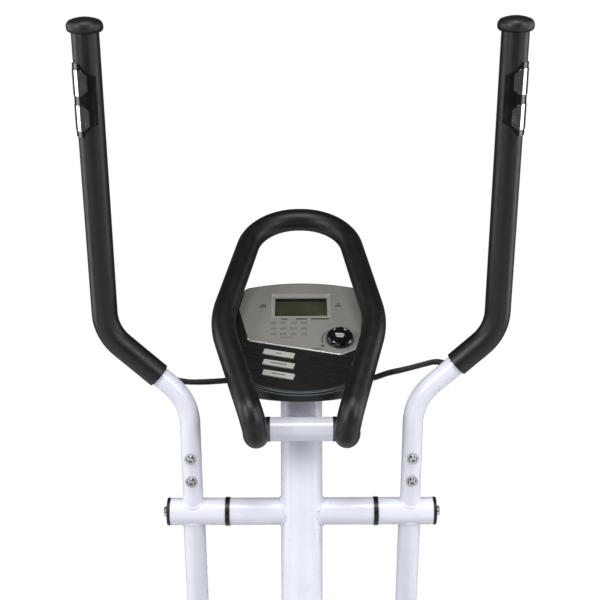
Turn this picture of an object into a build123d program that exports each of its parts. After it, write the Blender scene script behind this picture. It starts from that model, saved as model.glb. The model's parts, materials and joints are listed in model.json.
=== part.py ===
from build123d import *
import math
import os

# An elliptical trainer: two swing arms turn on one axle across a leaning mast. Their lower ends push pedal
# bars, and the bars' rear ends ride on a crank that drives a magnetically braked flywheel.
# Millimetres. +X is the user's right, +Y the way the user faces, +Z up. The floor is at z = 0.

# ---- pivot and mast
PIVOT_Y = 255.0
PIVOT_Z = 925.0
MAST_LEAN = 5.0            # degrees towards the user
MAST_OD = 60.0
MAST_WALL = 2.0
MAST_FOOT_Z = 104.0
HOUSING_TUBE_WALL = 5.5
AXLE_HOUSING_HALF = 104.0
AXLE_OD = 20.0
AXLE_HALF = 181.0
BUSH_WALL = 4.0
BUSH_OD = AXLE_OD + 2 * BUSH_WALL
AXLE_HOUSING_OD = BUSH_OD + 2 * HOUSING_TUBE_WALL
BUSH_RUNNING_GAP = 0.05
FLANGE_WIDTH = 3.2
FLANGE_LIP = 1.25
FLANGE_OD = AXLE_HOUSING_OD + 2 * FLANGE_LIP
FLANGE_GAP = 0.1
SLEEVE_LENGTH = 22.0
HUB_END = 190.0
HUB_OD = AXLE_HOUSING_OD
CAP_FLANGE = 4.5

# ---- cross tube and fixed loop handlebar
CROSS_OD = 33.7            # the loop's ends sit inside it
CROSS_WALL = 2.0
CROSS_HALF = 43.9
CROSS_FROM_MAST = 26.0
CROSS_BACK = MAST_OD / 2 + CROSS_FROM_MAST   # towards the user from the pivot axis
CROSS_UP = 126.0
LOOP_OD = 25.4
LOOP_WALL = 1.5
LOOP_TUCK = 12.0           # the loop's ends stop this far from the middle of the cross tube
LOOP_TILT = 46.0           # degrees back from vertical
LOOP_BACK = 7.6
LOOP_UP = 276.6
LOOP_CORNER_X = 68.0
LOOP_CORNER_R = 20.0
LOOP_HOOK = (50.0, 160.0, 109.0)   # x, towards the user, up
LOOP_HOOK_R = 27.0
LOOP_WIDEST_LEFT = (117.0, -3.0)   # x and height in the loop's own plane
LOOP_WIDEST_RIGHT = (109.0, -3.0)
LOOP_WIDEST_R = 150.0
LOOP_TOP_LEFT = (69.0, 228.7)
LOOP_TOP_RIGHT = (67.5, 228.7)
LOOP_TOP_R = 80.0
LOOP_FOAM_WALL = 4.8
LOOP_FOAM_OD = LOOP_OD + 2 * LOOP_FOAM_WALL
FOAM_GAP = 0.1
TUBE_GAP = 0.3

# ---- swing arms
ARM_TILT = 20.0            # the upper arm leans towards the user
ARM_X = 157.0
UPPER_OD = 28.6
TUBE_WALL = 1.5
GRIP_FOAM_WALL = 3.2
GRIP_FOAM_OD = UPPER_OD + 2 * GRIP_FOAM_WALL
UPPER_SEAM = 41.0
SPIGOT_TOP = 118.0
STEM_BEND = (157.0, 178.0)
STEM_BEND_R = 80.0
GRIP_BEND = (266.5, 281.0)
GRIP_BEND_R = 65.0
GRIP_TOP = 680.0
GRIP_START_LEFT = 197.5
GRIP_START_RIGHT = 214.0
GRIP_CAP_LIP = 5.5
GRIP_CAP_OD = GRIP_FOAM_OD + 2 * GRIP_CAP_LIP
GRIP_CAP_HEIGHT = 19.0
GRIP_CAP_CROWN_R = 48.0
GRIP_CAP_TOP_ROUND = 9.0
GRIP_CAP_UNDER_ROUND = 6.0
ARM_BOLT_HEIGHTS = (57.0, 93.0)
ARM_BOLT_HEAD = 13.0
ARM_BOLT_SHANK = 8.0
ARM_WASHER_OD = 17.0
LOWER_OD = 31.8
LOWER_ANGLE = 22.0         # the lower arm leans forward going down
LOWER_LENGTH = 600.0
JOINT_OD = 40.0
JOINT_HALF = 17.0
JOINT_BOLT = 12.0
JOINT_RUNNING_GAP = 0.05

# ---- pulse sensors in the grips
PULSE_HEIGHT = 598.0
PULSE_LENGTH = 92.0
PULSE_TURN = 50.0          # degrees outboard
PULSE_SPREAD = 83.0
PULSE_SHELL = 1.4
PLATE_LENGTH = 32.0
PLATE_GAP = 12.0
PLATE_THICK = 0.6
PLATE_HALF_WIDTH = 15.5

# ---- console
CONSOLE_BACK = 77.0
CONSOLE_UP = 178.4
CONSOLE_TILT = 52.0
CONSOLE_LENGTH = 254.0
CONSOLE_LOW_HALF = 75.0
CONSOLE_LOW_L = 22.0
CONSOLE_WIDE_HALF = 116.0
CONSOLE_WIDE_L = 125.0
CONSOLE_TOP_HALF = 88.0
CONSOLE_TOP_L = 240.0
CONSOLE_RIM = 17.0
CONSOLE_DEPTH = 44.0
CONSOLE_TAPER = 16.0
SHELL_WALL = 2.5
SHELL_GAP = 0.3
PLATE_RECESS = 1.4
PLATE_RISE = 0.5
LCD_WIDTH = 78.6
LCD_HEIGHT = 43.4
LCD_L = 190.7
LENS_THICK = 1.2
KEY_WIDTH = 46.5
KEY_HEIGHT = 11.7
KEY_RISE = 1.6
KEY_CORNER = 1.1
KEY_CROWN = 0.6
KEY_SLOPE = -13.5
KEY_X = -32.3
KEY_L = (82.4, 60.0, 37.6)
KEY_NAMES = ("key_start", "key_mode", "key_stop")
KEY_GAP = 0.35
DIAL_X = 56.6
DIAL_L = 113.0
DIAL_OD = 40.0
DIAL_RISE = 10.5
DIAL_LIP = 1.6
DIAL_STEM_OD = 8.0
BRACKET_THICK = 3.0
BRACKET_SCREW_FROM_MAST = 4.0
BRACKET_SCREW_EDGE = 8.0
BRACKET_SCREW_X = MAST_OD / 2 + BRACKET_SCREW_FROM_MAST
BRACKET_HALF = BRACKET_SCREW_X + BRACKET_SCREW_EDGE
BRACKET_L = (47.0, 114.0)
BRACKET_DEPTH = 44.3
BRACKET_SCREWS = ((-BRACKET_SCREW_X, 58.0), (BRACKET_SCREW_X, 58.0), (-BRACKET_SCREW_X, 104.0),
                  (BRACKET_SCREW_X, 104.0))
CHIN_L = 46.0               # the casing's back slopes up to its full depth over this length
CHIN_GAP = 1.5
SCREW_HEAD = 7.0
SCREW_SHANK = 3.6
GROOVE_COUNT = 9
GROOVE_FIRST_L = 8.0
GROOVE_PITCH = 11.5
GROOVE_WIDTH = 1.2
GROOVE_DEPTH = 0.5
GROOVE_INSET = 7.0
LENS_GAP = 0.2
BOARD_Z = -13.5
KEY_FOOT_Z = -9.0
DIAL_FOOT = 2.0

# ---- sensor cable sleeves: x, forward of the pivot, above the pivot
SLEEVE_OD = 8.5
SLEEVE_START = (74.0, 60.0, 30.0)  # inside the console: x, up its face, depth
SLEEVE_LEAD = 26.0
SLEEVE_PORT_GAP = 0.5
SLEEVE_END_OUT = 8.0       # the sleeve's line ends this far behind the arm tube's middle
SLEEVE_CUT_GAP = 0.3
ARM_HOLE_LEFT_U = 190.0
ARM_HOLE_RIGHT_U = 208.0
SLEEVE_ROUTE_LEFT = ((-120.0, -24.0, 191.0), (-142.0, -40.0, 191.0), (-168.0, -47.0, 192.0))
SLEEVE_ROUTE_RIGHT = ((122.0, -25.0, 202.0), (146.0, -41.0, 208.0), (174.0, -46.0, 216.0),
                      (194.0, -48.0, 221.0))

# ---- base
BEAM_WIDTH = 80.0
BEAM_HEIGHT = 40.0
BEAM_Z = 60.0
BEAM_WALL = 3.0
STAB_OD = 50.0
STAB_Z = 36.0
STAB_HALF = 232.0
FRONT_STAB_Y = 497.0
REAR_STAB_Y = -497.0
CAP_LENGTH = 52.0
CAP_WALL = 5.0
CAP_OD = STAB_OD + 2 * CAP_WALL
CAP_WALL_X = 8.0
WHEEL_OD = 46.0
WHEEL_WIDTH = 20.0
WHEEL_GAP = 1.0
SOCKET_WALL = 3.0
SOCKET_TOP = 215.0
SADDLE_LENGTH = 90.0
SADDLE_WALL = 5.0
STAB_BOLT_X = 28.0
FRAME_BOLT = 8.0
BOLT_GAP = 0.3
MAST_BOLT_Z = (148.0, 190.0)
WHEEL_Z = 26.0
PIVOT_BOLT = 10.0
PIVOT_BOLT_HEAD = 17.0

# ---- crank and drive
CRANK_Y = PIVOT_Y - 569.7
CRANK_Z = 320.0
CRANK_R = 150.0
CRANK_SHAFT_OD = 20.0
CRANK_ARM_X = 88.0
CRANK_ARM_THICK = 14.0
CRANK_ARM_WIDTH = 34.0
CRANK_TUBE_WALL = 5.0
CRANK_TUBE_HALF = 36.0
SIDE_PLATE_X = 27.0
SIDE_PLATE_THICK = 5.0
PULLEY_X = 43.0
PULLEY_WIDTH = 11.0
CRANK_PULLEY_OD = 220.0
FLYWHEEL_DY = 235.0
FLYWHEEL_Z = 275.0
FLYWHEEL_OD = 230.0
FLYWHEEL_HALF = 14.0
SMALL_PULLEY_OD = 28.0
FLYWHEEL_SHAFT_OD = 15.0
BEARING_WALL = 11.0
CRANK_BEARING_OD = CRANK_SHAFT_OD + 2 * BEARING_WALL
FLY_BEARING_WALL = 8.5
FLY_BEARING_OD = FLYWHEEL_SHAFT_OD + 2 * FLY_BEARING_WALL
CRANK_TUBE_OD = CRANK_BEARING_OD + 2 * CRANK_TUBE_WALL
BELT_THICK = 2.6
BELT_WIDTH = 9.0
BELT_CLEAR = 0.15
IDLER_OD = 32.0
HOUSING_HALF = 68.0
HOUSING_WALL = 2.5
HOUSING_ROUND = 10.0
HOUSING_REAR_R = 168.0
HOUSING_FRONT_R = 142.0
HOUSING_BOTTOM = 103.0
MAGNET_GAP = 3.0
HOUSING_SCREWS = ((-460.0, 300.0), (-400.0, 440.0), (-120.0, 404.0), (40.0, 300.0), (-20.0, 130.0),
                  (-420.0, 130.0))

# ---- pedal bars
BAR_X = 157.0
BAR_WIDTH = 30.0
BAR_HEIGHT = 50.0
BAR_WALL = 2.0
PIN_OD = 17.0
PIN_INNER_X = 103.5
PLATFORM_X = (118.0, 258.0)
PLATFORM_LENGTH = 330.0
PLATFORM_FLOOR = 6.0
PLATFORM_LIP = 38.0
PLATFORM_FROM_CRANK = 150.0
CLEVIS_GAP = 1.0
CLEVIS_PLATE = 6.0
YOKE_DEPTH = 86.0
YOKE_BLOCK = 16.0

CRANK_PIN_TILT = math.atan2(PIVOT_Z - LOWER_LENGTH * math.cos(math.radians(LOWER_ANGLE)) - CRANK_Z,
                            PIVOT_Y + LOWER_LENGTH * math.sin(math.radians(LOWER_ANGLE)) - CRANK_Y)
HUB_START = AXLE_HOUSING_HALF + 2 * (FLANGE_WIDTH + FLANGE_GAP)
SIDES = {"left": -1, "right": 1}


def sin(angle):
    return math.sin(math.radians(angle))


def cos(angle):
    return math.cos(math.radians(angle))


# The lower joint at rest, where the swing arm meets the pedal bar.
JOINT_Y = PIVOT_Y + LOWER_LENGTH * sin(LOWER_ANGLE)
JOINT_Z = PIVOT_Z - LOWER_LENGTH * cos(LOWER_ANGLE)


def save(shape, name):
    os.makedirs("parts", exist_ok=True)
    solids = shape.solids() if hasattr(shape, "solids") else shape
    body = Compound(children=list(solids)) if len(solids) > 1 else solids[0]
    body.label = name
    export_step(body, f"parts/{name}.step")


def along_x(radius, start, end, y, z):
    """A round bar along X from start to end."""
    low = min(start, end)
    return Plane((low, y, z), z_dir=(1, 0, 0)) * extrude(Circle(radius), amount=abs(end - start))


def ring_x(outer, inner, start, end, y, z):
    """A tube along X."""
    low = min(start, end)
    face = Circle(outer) - Circle(inner)
    return Plane((low, y, z), z_dir=(1, 0, 0)) * extrude(face, amount=abs(end - start))


def pipe(points, radii, outer, inner=0.0):
    """A round tube, or a bar where inner is nothing, swept along straight runs and tangent arcs."""
    path = FilletPolyline(*points, radius=radii) if radii else Line(*points)
    section = Circle(outer / 2) - Circle(inner / 2) if inner else Circle(outer / 2)
    start = Plane(origin=path @ 0, z_dir=path % 0)
    return sweep(start * section, path=path)


def mirrored(shape):
    return mirror(shape, about=Plane.YZ)


def arm_point(side, u, v, out=0.0):
    """A point of an upper arm: u across, v up in its tilted plane, out on the plane's far side."""
    y = PIVOT_Y - v * sin(ARM_TILT) + out * cos(ARM_TILT)
    z = PIVOT_Z + v * cos(ARM_TILT) + out * sin(ARM_TILT)
    return (side * u, y, z)


def console_plane(depth=0.0):
    """The console's face plane, its local y running up the face, or a plane that deep behind it."""
    origin = Vector(0, PIVOT_Y - CONSOLE_BACK, PIVOT_Z + CONSOLE_UP)
    normal = Vector(0, -cos(CONSOLE_TILT), sin(CONSOLE_TILT))
    return Plane(origin - normal * depth, x_dir=(1, 0, 0), z_dir=normal)


def button_head(head, shank, length, washer=0.0):
    """A hex-socket button-head bolt pointing down -Z, its head's underside at z = 0."""
    rise = head * 0.3
    dome = Circle(head / 2)
    bolt = extrude(dome, amount=rise, taper=24)
    bolt -= Pos(0, 0, rise * 0.35) * extrude(RegularPolygon(head * 0.24, 6), amount=rise)
    bolt += Pos(0, 0, -length) * Cylinder(shank / 2, length, align=(Align.CENTER, Align.CENTER, Align.MIN))
    if washer:
        bolt += Pos(0, 0, -1.2) * Cylinder(washer / 2, 1.2, align=(Align.CENTER, Align.CENTER, Align.MIN))
    return bolt


# ---- the welded base and the mast

def mast_axis_y(z):
    return PIVOT_Y + (PIVOT_Z - z) * sin(MAST_LEAN) / cos(MAST_LEAN)


def leaning_bar(radius, low_z, high_z):
    """A bar on the mast's axis, past both heights."""
    start = Plane((0, mast_axis_y(low_z), low_z), z_dir=(0, -sin(MAST_LEAN), cos(MAST_LEAN)))
    return start * extrude(Circle(radius), amount=(high_z - low_z) / cos(MAST_LEAN))


def above_console_plane(depth):
    """A block that holds everything on the user's side of a plane behind the console's face."""
    return console_plane(depth) * extrude(Rectangle(600, 900), amount=500)


def below_chin(inward):
    """A block below the slope of the console's chin, which it clears by going inward into the casing."""
    rise = CONSOLE_DEPTH - CONSOLE_RIM
    out = Vector(0, -rise, -CHIN_L).normalized()
    foot = Vector(0, 0, -CONSOLE_RIM) - out * inward
    return Plane(foot, x_dir=(1, 0, 0), z_dir=out) * extrude(Rectangle(600, 600), amount=300)


def mast():
    top = PIVOT_Z + CONSOLE_UP + 40
    shell = leaning_bar(MAST_OD / 2, MAST_FOOT_Z, top)
    core = leaning_bar(MAST_OD / 2 - MAST_WALL, MAST_FOOT_Z - 5, top + 5)
    console_room = above_console_plane(BRACKET_DEPTH + BRACKET_THICK)
    console_room -= console_plane() * below_chin(-CHIN_GAP)
    post = shell - core - console_room
    housing = along_x(AXLE_HOUSING_OD / 2, -AXLE_HOUSING_HALF, AXLE_HOUSING_HALF, PIVOT_Y, PIVOT_Z)
    bore = along_x(BUSH_OD / 2, -AXLE_HOUSING_HALF - 1, AXLE_HOUSING_HALF + 1, PIVOT_Y, PIVOT_Z)
    cross = ring_x(CROSS_OD / 2, CROSS_OD / 2 - CROSS_WALL, -CROSS_HALF, CROSS_HALF,
                   PIVOT_Y - CROSS_BACK, PIVOT_Z + CROSS_UP)
    cross -= shell
    welded = post + housing + cross - bore
    for z in MAST_BOLT_Z:
        welded -= along_x(FRAME_BOLT / 2 + BOLT_GAP, -MAST_OD, MAST_OD, mast_axis_y(z), z)
    return welded


def side_plate():
    """One upright of the drive frame, from the beam up to the crank tube and the flywheel shaft."""
    fly_y = CRANK_Y + FLYWHEEL_DY
    foot = BEAM_Z + BEAM_HEIGHT - 1
    outline = Polyline((CRANK_Y - 60, foot), (fly_y + 55, foot), (fly_y + 30, FLYWHEEL_Z + 30),
                       (CRANK_Y + 32, CRANK_Z + 34), (CRANK_Y - 32, CRANK_Z + 34), close=True)
    plate = extrude(make_face(outline), amount=SIDE_PLATE_THICK)
    window = make_face(Polyline((CRANK_Y + 10, foot + 45), (fly_y - 60, foot + 45),
                                (fly_y - 70, FLYWHEEL_Z - 20), (CRANK_Y + 40, CRANK_Z - 50), close=True))
    return plate - extrude(window, amount=SIDE_PLATE_THICK)


def base_frame():
    length = FRONT_STAB_Y - REAR_STAB_Y + STAB_OD * 0.8
    beam = Box(BEAM_WIDTH, length, BEAM_HEIGHT) - Box(BEAM_WIDTH - 2 * BEAM_WALL, length + 2,
                                                     BEAM_HEIGHT - 2 * BEAM_WALL)
    frame = Pos(0, (FRONT_STAB_Y + REAR_STAB_Y) / 2, BEAM_Z + BEAM_HEIGHT / 2) * beam
    socket_r = MAST_OD / 2 + TUBE_GAP + SOCKET_WALL
    socket = leaning_bar(socket_r, BEAM_Z + BEAM_HEIGHT / 2, SOCKET_TOP)
    socket &= Pos(0, 0, 500 + BEAM_Z + BEAM_HEIGHT - 1) * Box(400, 1400, 1000)
    socket -= leaning_bar(MAST_OD / 2 + TUBE_GAP, MAST_FOOT_Z - 1, SOCKET_TOP + 20)
    frame += socket
    for stab_y in (FRONT_STAB_Y, REAR_STAB_Y):
        saddle = along_x(STAB_OD / 2 + TUBE_GAP + SADDLE_WALL, -SADDLE_LENGTH / 2, SADDLE_LENGTH / 2,
                         stab_y, STAB_Z)
        saddle &= Pos(0, stab_y, STAB_Z + 100) * Box(200, 200, 200)
        frame += saddle
        frame -= along_x(STAB_OD / 2 + TUBE_GAP, -SADDLE_LENGTH, SADDLE_LENGTH, stab_y, STAB_Z)
        for x in (-STAB_BOLT_X, STAB_BOLT_X):
            frame -= Pos(x, stab_y, BEAM_Z) * Cylinder(FRAME_BOLT / 2 + BOLT_GAP, 200)
    for x in (-SIDE_PLATE_X - SIDE_PLATE_THICK, SIDE_PLATE_X):
        frame += Plane((x, 0, 0), x_dir=(0, 1, 0), z_dir=(1, 0, 0)) * side_plate()
    fly_y = CRANK_Y + FLYWHEEL_DY
    frame += along_x(CRANK_TUBE_OD / 2, -CRANK_TUBE_HALF, CRANK_TUBE_HALF, CRANK_Y, CRANK_Z)
    frame -= along_x(CRANK_BEARING_OD / 2, -CRANK_TUBE_HALF - 1, CRANK_TUBE_HALF + 1, CRANK_Y, CRANK_Z)
    for side in SIDES.values():
        inner = side * (SIDE_PLATE_X - 4)
        outer = side * (SIDE_PLATE_X + SIDE_PLATE_THICK)
        frame += along_x(FLY_BEARING_OD / 2 + 5, inner, outer, fly_y, FLYWHEEL_Z)
        frame -= along_x(FLY_BEARING_OD / 2, inner - side, outer + side, fly_y, FLYWHEEL_Z)
    for z in MAST_BOLT_Z:
        frame -= along_x(FRAME_BOLT / 2 + BOLT_GAP, -MAST_OD, MAST_OD, mast_axis_y(z), z)
    return frame


def stabiliser(stab_y):
    tube = ring_x(STAB_OD / 2, STAB_OD / 2 - BEAM_WALL, -STAB_HALF, STAB_HALF, stab_y, STAB_Z)
    for x in (-STAB_BOLT_X, STAB_BOLT_X):
        tube -= Pos(x, stab_y, STAB_Z) * Cylinder(FRAME_BOLT / 2 + BOLT_GAP, STAB_OD * 2)
    return tube


def wheel_y():
    return FRONT_STAB_Y + CAP_OD / 2 - WHEEL_OD / 2


def end_cap(side, stab_y, wheeled):
    """A moulded foot pushed over a stabiliser's end; the front ones carry a transport wheel."""
    height = STAB_Z + CAP_OD / 2
    inner = STAB_HALF - CAP_LENGTH + 12
    profile = Pos(stab_y, height / 2) * RectangleRounded(CAP_OD, height, 11)
    outer = STAB_HALF + WHEEL_WIDTH + 2 * WHEEL_GAP + CAP_WALL_X + 1
    foot = Plane((inner, 0, 0), x_dir=(0, 1, 0), z_dir=(1, 0, 0)) * extrude(profile, amount=outer - inner)
    end_edges = foot.faces().sort_by(Axis.X)[-1].edges()
    foot = fillet(end_edges, 5)
    foot -= along_x(STAB_OD / 2, inner - 1, STAB_HALF, stab_y, STAB_Z)
    if wheeled:
        low = STAB_HALF + 1
        slot = Box(WHEEL_WIDTH + 2 * WHEEL_GAP, CAP_OD, height + 20)
        foot -= Pos(low + WHEEL_WIDTH / 2 + WHEEL_GAP, stab_y + 10, height / 2 - 10) * slot
        foot -= along_x(FRAME_BOLT / 2, inner, outer + 5, wheel_y(), WHEEL_Z)
    return foot if side > 0 else mirrored(foot)


def transport_wheel(side):
    low = STAB_HALF + 1 + WHEEL_GAP
    bore = FRAME_BOLT / 2 + BUSH_RUNNING_GAP
    tyre = ring_x(WHEEL_OD / 2, bore, low, low + WHEEL_WIDTH, wheel_y(), WHEEL_Z)
    rims = [e for e in tyre.edges().filter_by(GeomType.CIRCLE) if abs(e.radius - WHEEL_OD / 2) < 0.01]
    tyre = fillet(rims, 3)
    return tyre if side > 0 else mirrored(tyre)


def frame_bolts():
    """The M8 button-heads of the base, the wheels' axle bolts and the swing axle's end bolts."""
    bolts = []
    top = BEAM_Z + BEAM_HEIGHT
    for stab_y in (FRONT_STAB_Y, REAR_STAB_Y):
        for x in (-STAB_BOLT_X, STAB_BOLT_X):
            bolts.append(Pos(x, stab_y, top) * button_head(14, FRAME_BOLT, top - STAB_Z + 18))
    socket_r = MAST_OD / 2 + TUBE_GAP + SOCKET_WALL
    for z in MAST_BOLT_Z:
        for side in SIDES.values():
            place = Plane((side * (socket_r + 0.2), mast_axis_y(z), z), z_dir=(side, 0, 0))
            bolts.append(place * button_head(14, FRAME_BOLT, 22))
    for side in SIDES.values():
        outer = STAB_HALF + WHEEL_WIDTH + 2 * WHEEL_GAP + CAP_WALL_X + 1
        place = Plane((side * outer, wheel_y(), WHEEL_Z), z_dir=(side, 0, 0))
        bolts.append(place * button_head(13, FRAME_BOLT, outer - STAB_HALF + 12))
        place = Plane((side * (HUB_END + CAP_FLANGE + TUBE_GAP), PIVOT_Y, PIVOT_Z), z_dir=(side, 0, 0))
        bolts.append(place * button_head(PIVOT_BOLT_HEAD, PIVOT_BOLT, HUB_END + CAP_FLANGE + TUBE_GAP - 160))
    return Compound(children=[solid for bolt in bolts for solid in bolt.solids()])


def pivot_axle():
    axle = along_x(AXLE_OD / 2, -AXLE_HALF, AXLE_HALF, PIVOT_Y, PIVOT_Z)
    for side in SIDES.values():
        axle -= along_x(PIVOT_BOLT / 2, side * 160, side * (AXLE_HALF + 1), PIVOT_Y, PIVOT_Z)
    return axle


def pivot_bushes():
    """Two black flanged bushes a side, in the axle housing and the arm's hub, and a plain one outboard."""
    bushes = []
    hub_flange = HUB_START - FLANGE_GAP
    for side in SIDES.values():
        housing_flange = ring_x(FLANGE_OD / 2, AXLE_OD / 2, side * AXLE_HOUSING_HALF,
                                side * (AXLE_HOUSING_HALF + FLANGE_WIDTH), PIVOT_Y, PIVOT_Z)
        housing_flange += ring_x(BUSH_OD / 2, AXLE_OD / 2, side * (AXLE_HOUSING_HALF - SLEEVE_LENGTH),
                                 side * AXLE_HOUSING_HALF, PIVOT_Y, PIVOT_Z)
        arm_flange = ring_x(FLANGE_OD / 2, AXLE_OD / 2, side * (hub_flange - FLANGE_WIDTH),
                            side * hub_flange, PIVOT_Y, PIVOT_Z)
        arm_flange += ring_x(BUSH_OD / 2 - BUSH_RUNNING_GAP, AXLE_OD / 2, side * hub_flange,
                             side * (HUB_START + SLEEVE_LENGTH), PIVOT_Y, PIVOT_Z)
        plain = ring_x(BUSH_OD / 2 - BUSH_RUNNING_GAP, AXLE_OD / 2, side * (AXLE_HALF - SLEEVE_LENGTH),
                       side * AXLE_HALF, PIVOT_Y, PIVOT_Z)
        bushes += [housing_flange, arm_flange, plain]
    return Compound(children=[solid for bush in bushes for solid in bush.solids()])


# ---- the fixed loop handlebar

def loop_point(x, w):
    """A point of the loop's own plane, which leans back from the user."""
    return (x, PIVOT_Y - LOOP_BACK + w * sin(LOOP_TILT), PIVOT_Z + LOOP_UP + w * cos(LOOP_TILT))


def loop_route(side, start_x):
    """One half of the loop, from its end in the cross tube to the middle of its top."""
    hook_x, hook_back, hook_up = LOOP_HOOK
    cross_y = PIVOT_Y - CROSS_BACK
    cross_z = PIVOT_Z + CROSS_UP
    widest_x, widest_w = LOOP_WIDEST_LEFT if side < 0 else LOOP_WIDEST_RIGHT
    top_x, top_w = LOOP_TOP_LEFT if side < 0 else LOOP_TOP_RIGHT
    return [(side * start_x, cross_y, cross_z), (side * LOOP_CORNER_X, cross_y, cross_z),
            (side * hook_x, PIVOT_Y - hook_back, PIVOT_Z + hook_up), loop_point(side * widest_x, widest_w),
            loop_point(side * top_x, top_w), loop_point(0, top_w)]


LOOP_RADII = [LOOP_CORNER_R, LOOP_HOOK_R, LOOP_WIDEST_R, LOOP_TOP_R]


def loop_halves(start_x, outer, inner):
    left, right = [pipe(loop_route(side, start_x), LOOP_RADII, outer, inner) for side in SIDES.values()]
    return left + right


def loop_handlebar():
    return loop_halves(LOOP_TUCK, LOOP_OD, LOOP_OD - 2 * LOOP_WALL)


def loop_foam():
    return loop_halves(CROSS_HALF + FOAM_GAP, LOOP_FOAM_OD, LOOP_OD + 2 * FOAM_GAP)


# ---- the console, built flat with its face at z = 0 and laid on its plane

def console_outline(inset=0.0):
    low = (CONSOLE_LOW_HALF, CONSOLE_LOW_L)
    wide = (CONSOLE_WIDE_HALF, CONSOLE_WIDE_L)
    top = (CONSOLE_TOP_HALF, CONSOLE_TOP_L)
    edges = [ThreePointArc((-low[0], low[1]), (0, 0), low), Line(low, wide), Line(wide, top),
             ThreePointArc(top, (0, CONSOLE_LENGTH), (-top[0], top[1])),
             Line((-top[0], top[1]), (-wide[0], wide[1])), Line((-wide[0], wide[1]), (-low[0], low[1]))]
    face = make_face(edges)
    face = fillet(face.vertices(), 13)
    return offset(face, amount=-inset) if inset else face


def faceplate_outline():
    """The silver plate: wide at the top, its lower edge sloping down to a rounded corner by the dial."""
    outline = ((-86, 236), (-94, 186), (-77, 112), (58, 80), (84, 96), (94, 186), (86, 236))
    edges = [Line(start, end) for start, end in zip(outline, outline[1:])]
    edges.append(ThreePointArc(outline[-1], (0, CONSOLE_LENGTH - 4.5), outline[0]))
    face = make_face(edges)
    return fillet(face.vertices(), 9)


def key_places():
    return [Pos(KEY_X, key_l) * Rot(0, 0, KEY_SLOPE) for key_l in KEY_L]


def console_front():
    shell = extrude(Pos(0, 0, -CONSOLE_RIM) * console_outline(), amount=CONSOLE_RIM)
    rim = shell.faces().sort_by(Axis.Z)[-1].outer_wire().edges()
    shell = fillet(rim, 4.5)
    inner_top = -(PLATE_RECESS + SHELL_WALL)
    shell -= extrude(Pos(0, 0, -CONSOLE_RIM - 1) * console_outline(SHELL_WALL),
                     amount=CONSOLE_RIM + 1 + inner_top)
    shell -= extrude(Pos(0, 0, -PLATE_RECESS) * offset(faceplate_outline(), amount=SHELL_GAP), amount=20)
    lcd = Rectangle(LCD_WIDTH, LCD_HEIGHT)
    shell -= extrude(Pos(0, LCD_L, -30) * lcd, amount=60)
    key_outline = RectangleRounded(KEY_WIDTH, KEY_HEIGHT, KEY_CORNER + KEY_GAP)
    key_window = extrude(Pos(0, 0, -30) * key_outline, amount=60)
    for place in key_places():
        shell -= place * key_window
    shell -= Pos(DIAL_X, DIAL_L) * Cylinder(DIAL_STEM_OD / 2 + BUSH_RUNNING_GAP, 60)
    ribbed_field = extrude(Pos(0, 0, -5) * console_outline(GROOVE_INSET), amount=10) - key_surround()
    for number in range(GROOVE_COUNT):
        groove_l = GROOVE_FIRST_L + number * GROOVE_PITCH
        groove = Pos(0, groove_l, 0) * Rot(0, 0, KEY_SLOPE) * Box(400, GROOVE_WIDTH, 2 * GROOVE_DEPTH)
        shell -= groove & ribbed_field
    return console_plane() * shell


def key_surround():
    """The flat field round the keys, which the grooves leave out."""
    field = [place * extrude(Pos(0, 0, -5) * RectangleRounded(KEY_WIDTH + 9, KEY_HEIGHT + 7, 5), amount=10)
             for place in key_places()]
    whole = Pos(DIAL_X, DIAL_L) * Cylinder(DIAL_OD / 2 + 6, 20)
    for piece in field:
        whole += piece
    return whole


def console_back():
    depth = CONSOLE_DEPTH - CONSOLE_RIM
    outline = console_outline(0.4)
    shell = extrude(Pos(0, 0, -CONSOLE_RIM - 0.1) * outline, amount=depth, dir=(0, 0, -1),
                    taper=CONSOLE_TAPER)
    back_edges = shell.faces().sort_by(Axis.Z)[0].outer_wire().edges()
    shell = fillet(back_edges, 5)
    shell -= below_chin(0)
    inner = extrude(Pos(0, 0, -CONSOLE_RIM) * console_outline(SHELL_WALL + 0.4), amount=depth - SHELL_WALL,
                    dir=(0, 0, -1), taper=CONSOLE_TAPER)
    shell -= inner - below_chin(SHELL_WALL)
    for x, l in BRACKET_SCREWS:
        shell -= Pos(x, l, -CONSOLE_DEPTH) * Cylinder(SCREW_SHANK / 2, 20)
    port = sleeve_start()
    ports = along_x(SLEEVE_OD / 2 + SLEEVE_PORT_GAP, -CONSOLE_WIDE_HALF, CONSOLE_WIDE_HALF, port.Y, port.Z)
    return console_plane() * shell - ports


def console_faceplate():
    plate = extrude(Pos(0, 0, -PLATE_RECESS) * faceplate_outline(), amount=PLATE_RECESS + PLATE_RISE)
    rim = plate.faces().sort_by(Axis.Z)[-1].outer_wire().edges()
    plate = fillet(rim, 0.4)
    plate -= Pos(0, LCD_L) * Box(LCD_WIDTH, LCD_HEIGHT, 60)
    plate -= Pos(DIAL_X, DIAL_L) * Cylinder(DIAL_STEM_OD / 2 + BUSH_RUNNING_GAP, 60)
    return console_plane() * plate


def display_lens():
    lens = Box(LCD_WIDTH - 2 * LENS_GAP, LCD_HEIGHT - 2 * LENS_GAP, LENS_THICK)
    return console_plane() * (Pos(0, LCD_L, -LENS_THICK / 2 - 0.6) * lens)


def display_panel():
    top = -(PLATE_RECESS + SHELL_WALL) - 0.1
    return console_plane() * (Pos(0, LCD_L, top - 1.5) * Box(LCD_WIDTH + 6, LCD_HEIGHT + 6, 3))


def console_board():
    board = Pos(0, 112, BOARD_Z) * Box(150, 160, 1.6)
    board -= Pos(DIAL_X, DIAL_L, BOARD_Z) * Cylinder(DIAL_STEM_OD / 2 + 1, 10)
    return console_plane() * board


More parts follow.
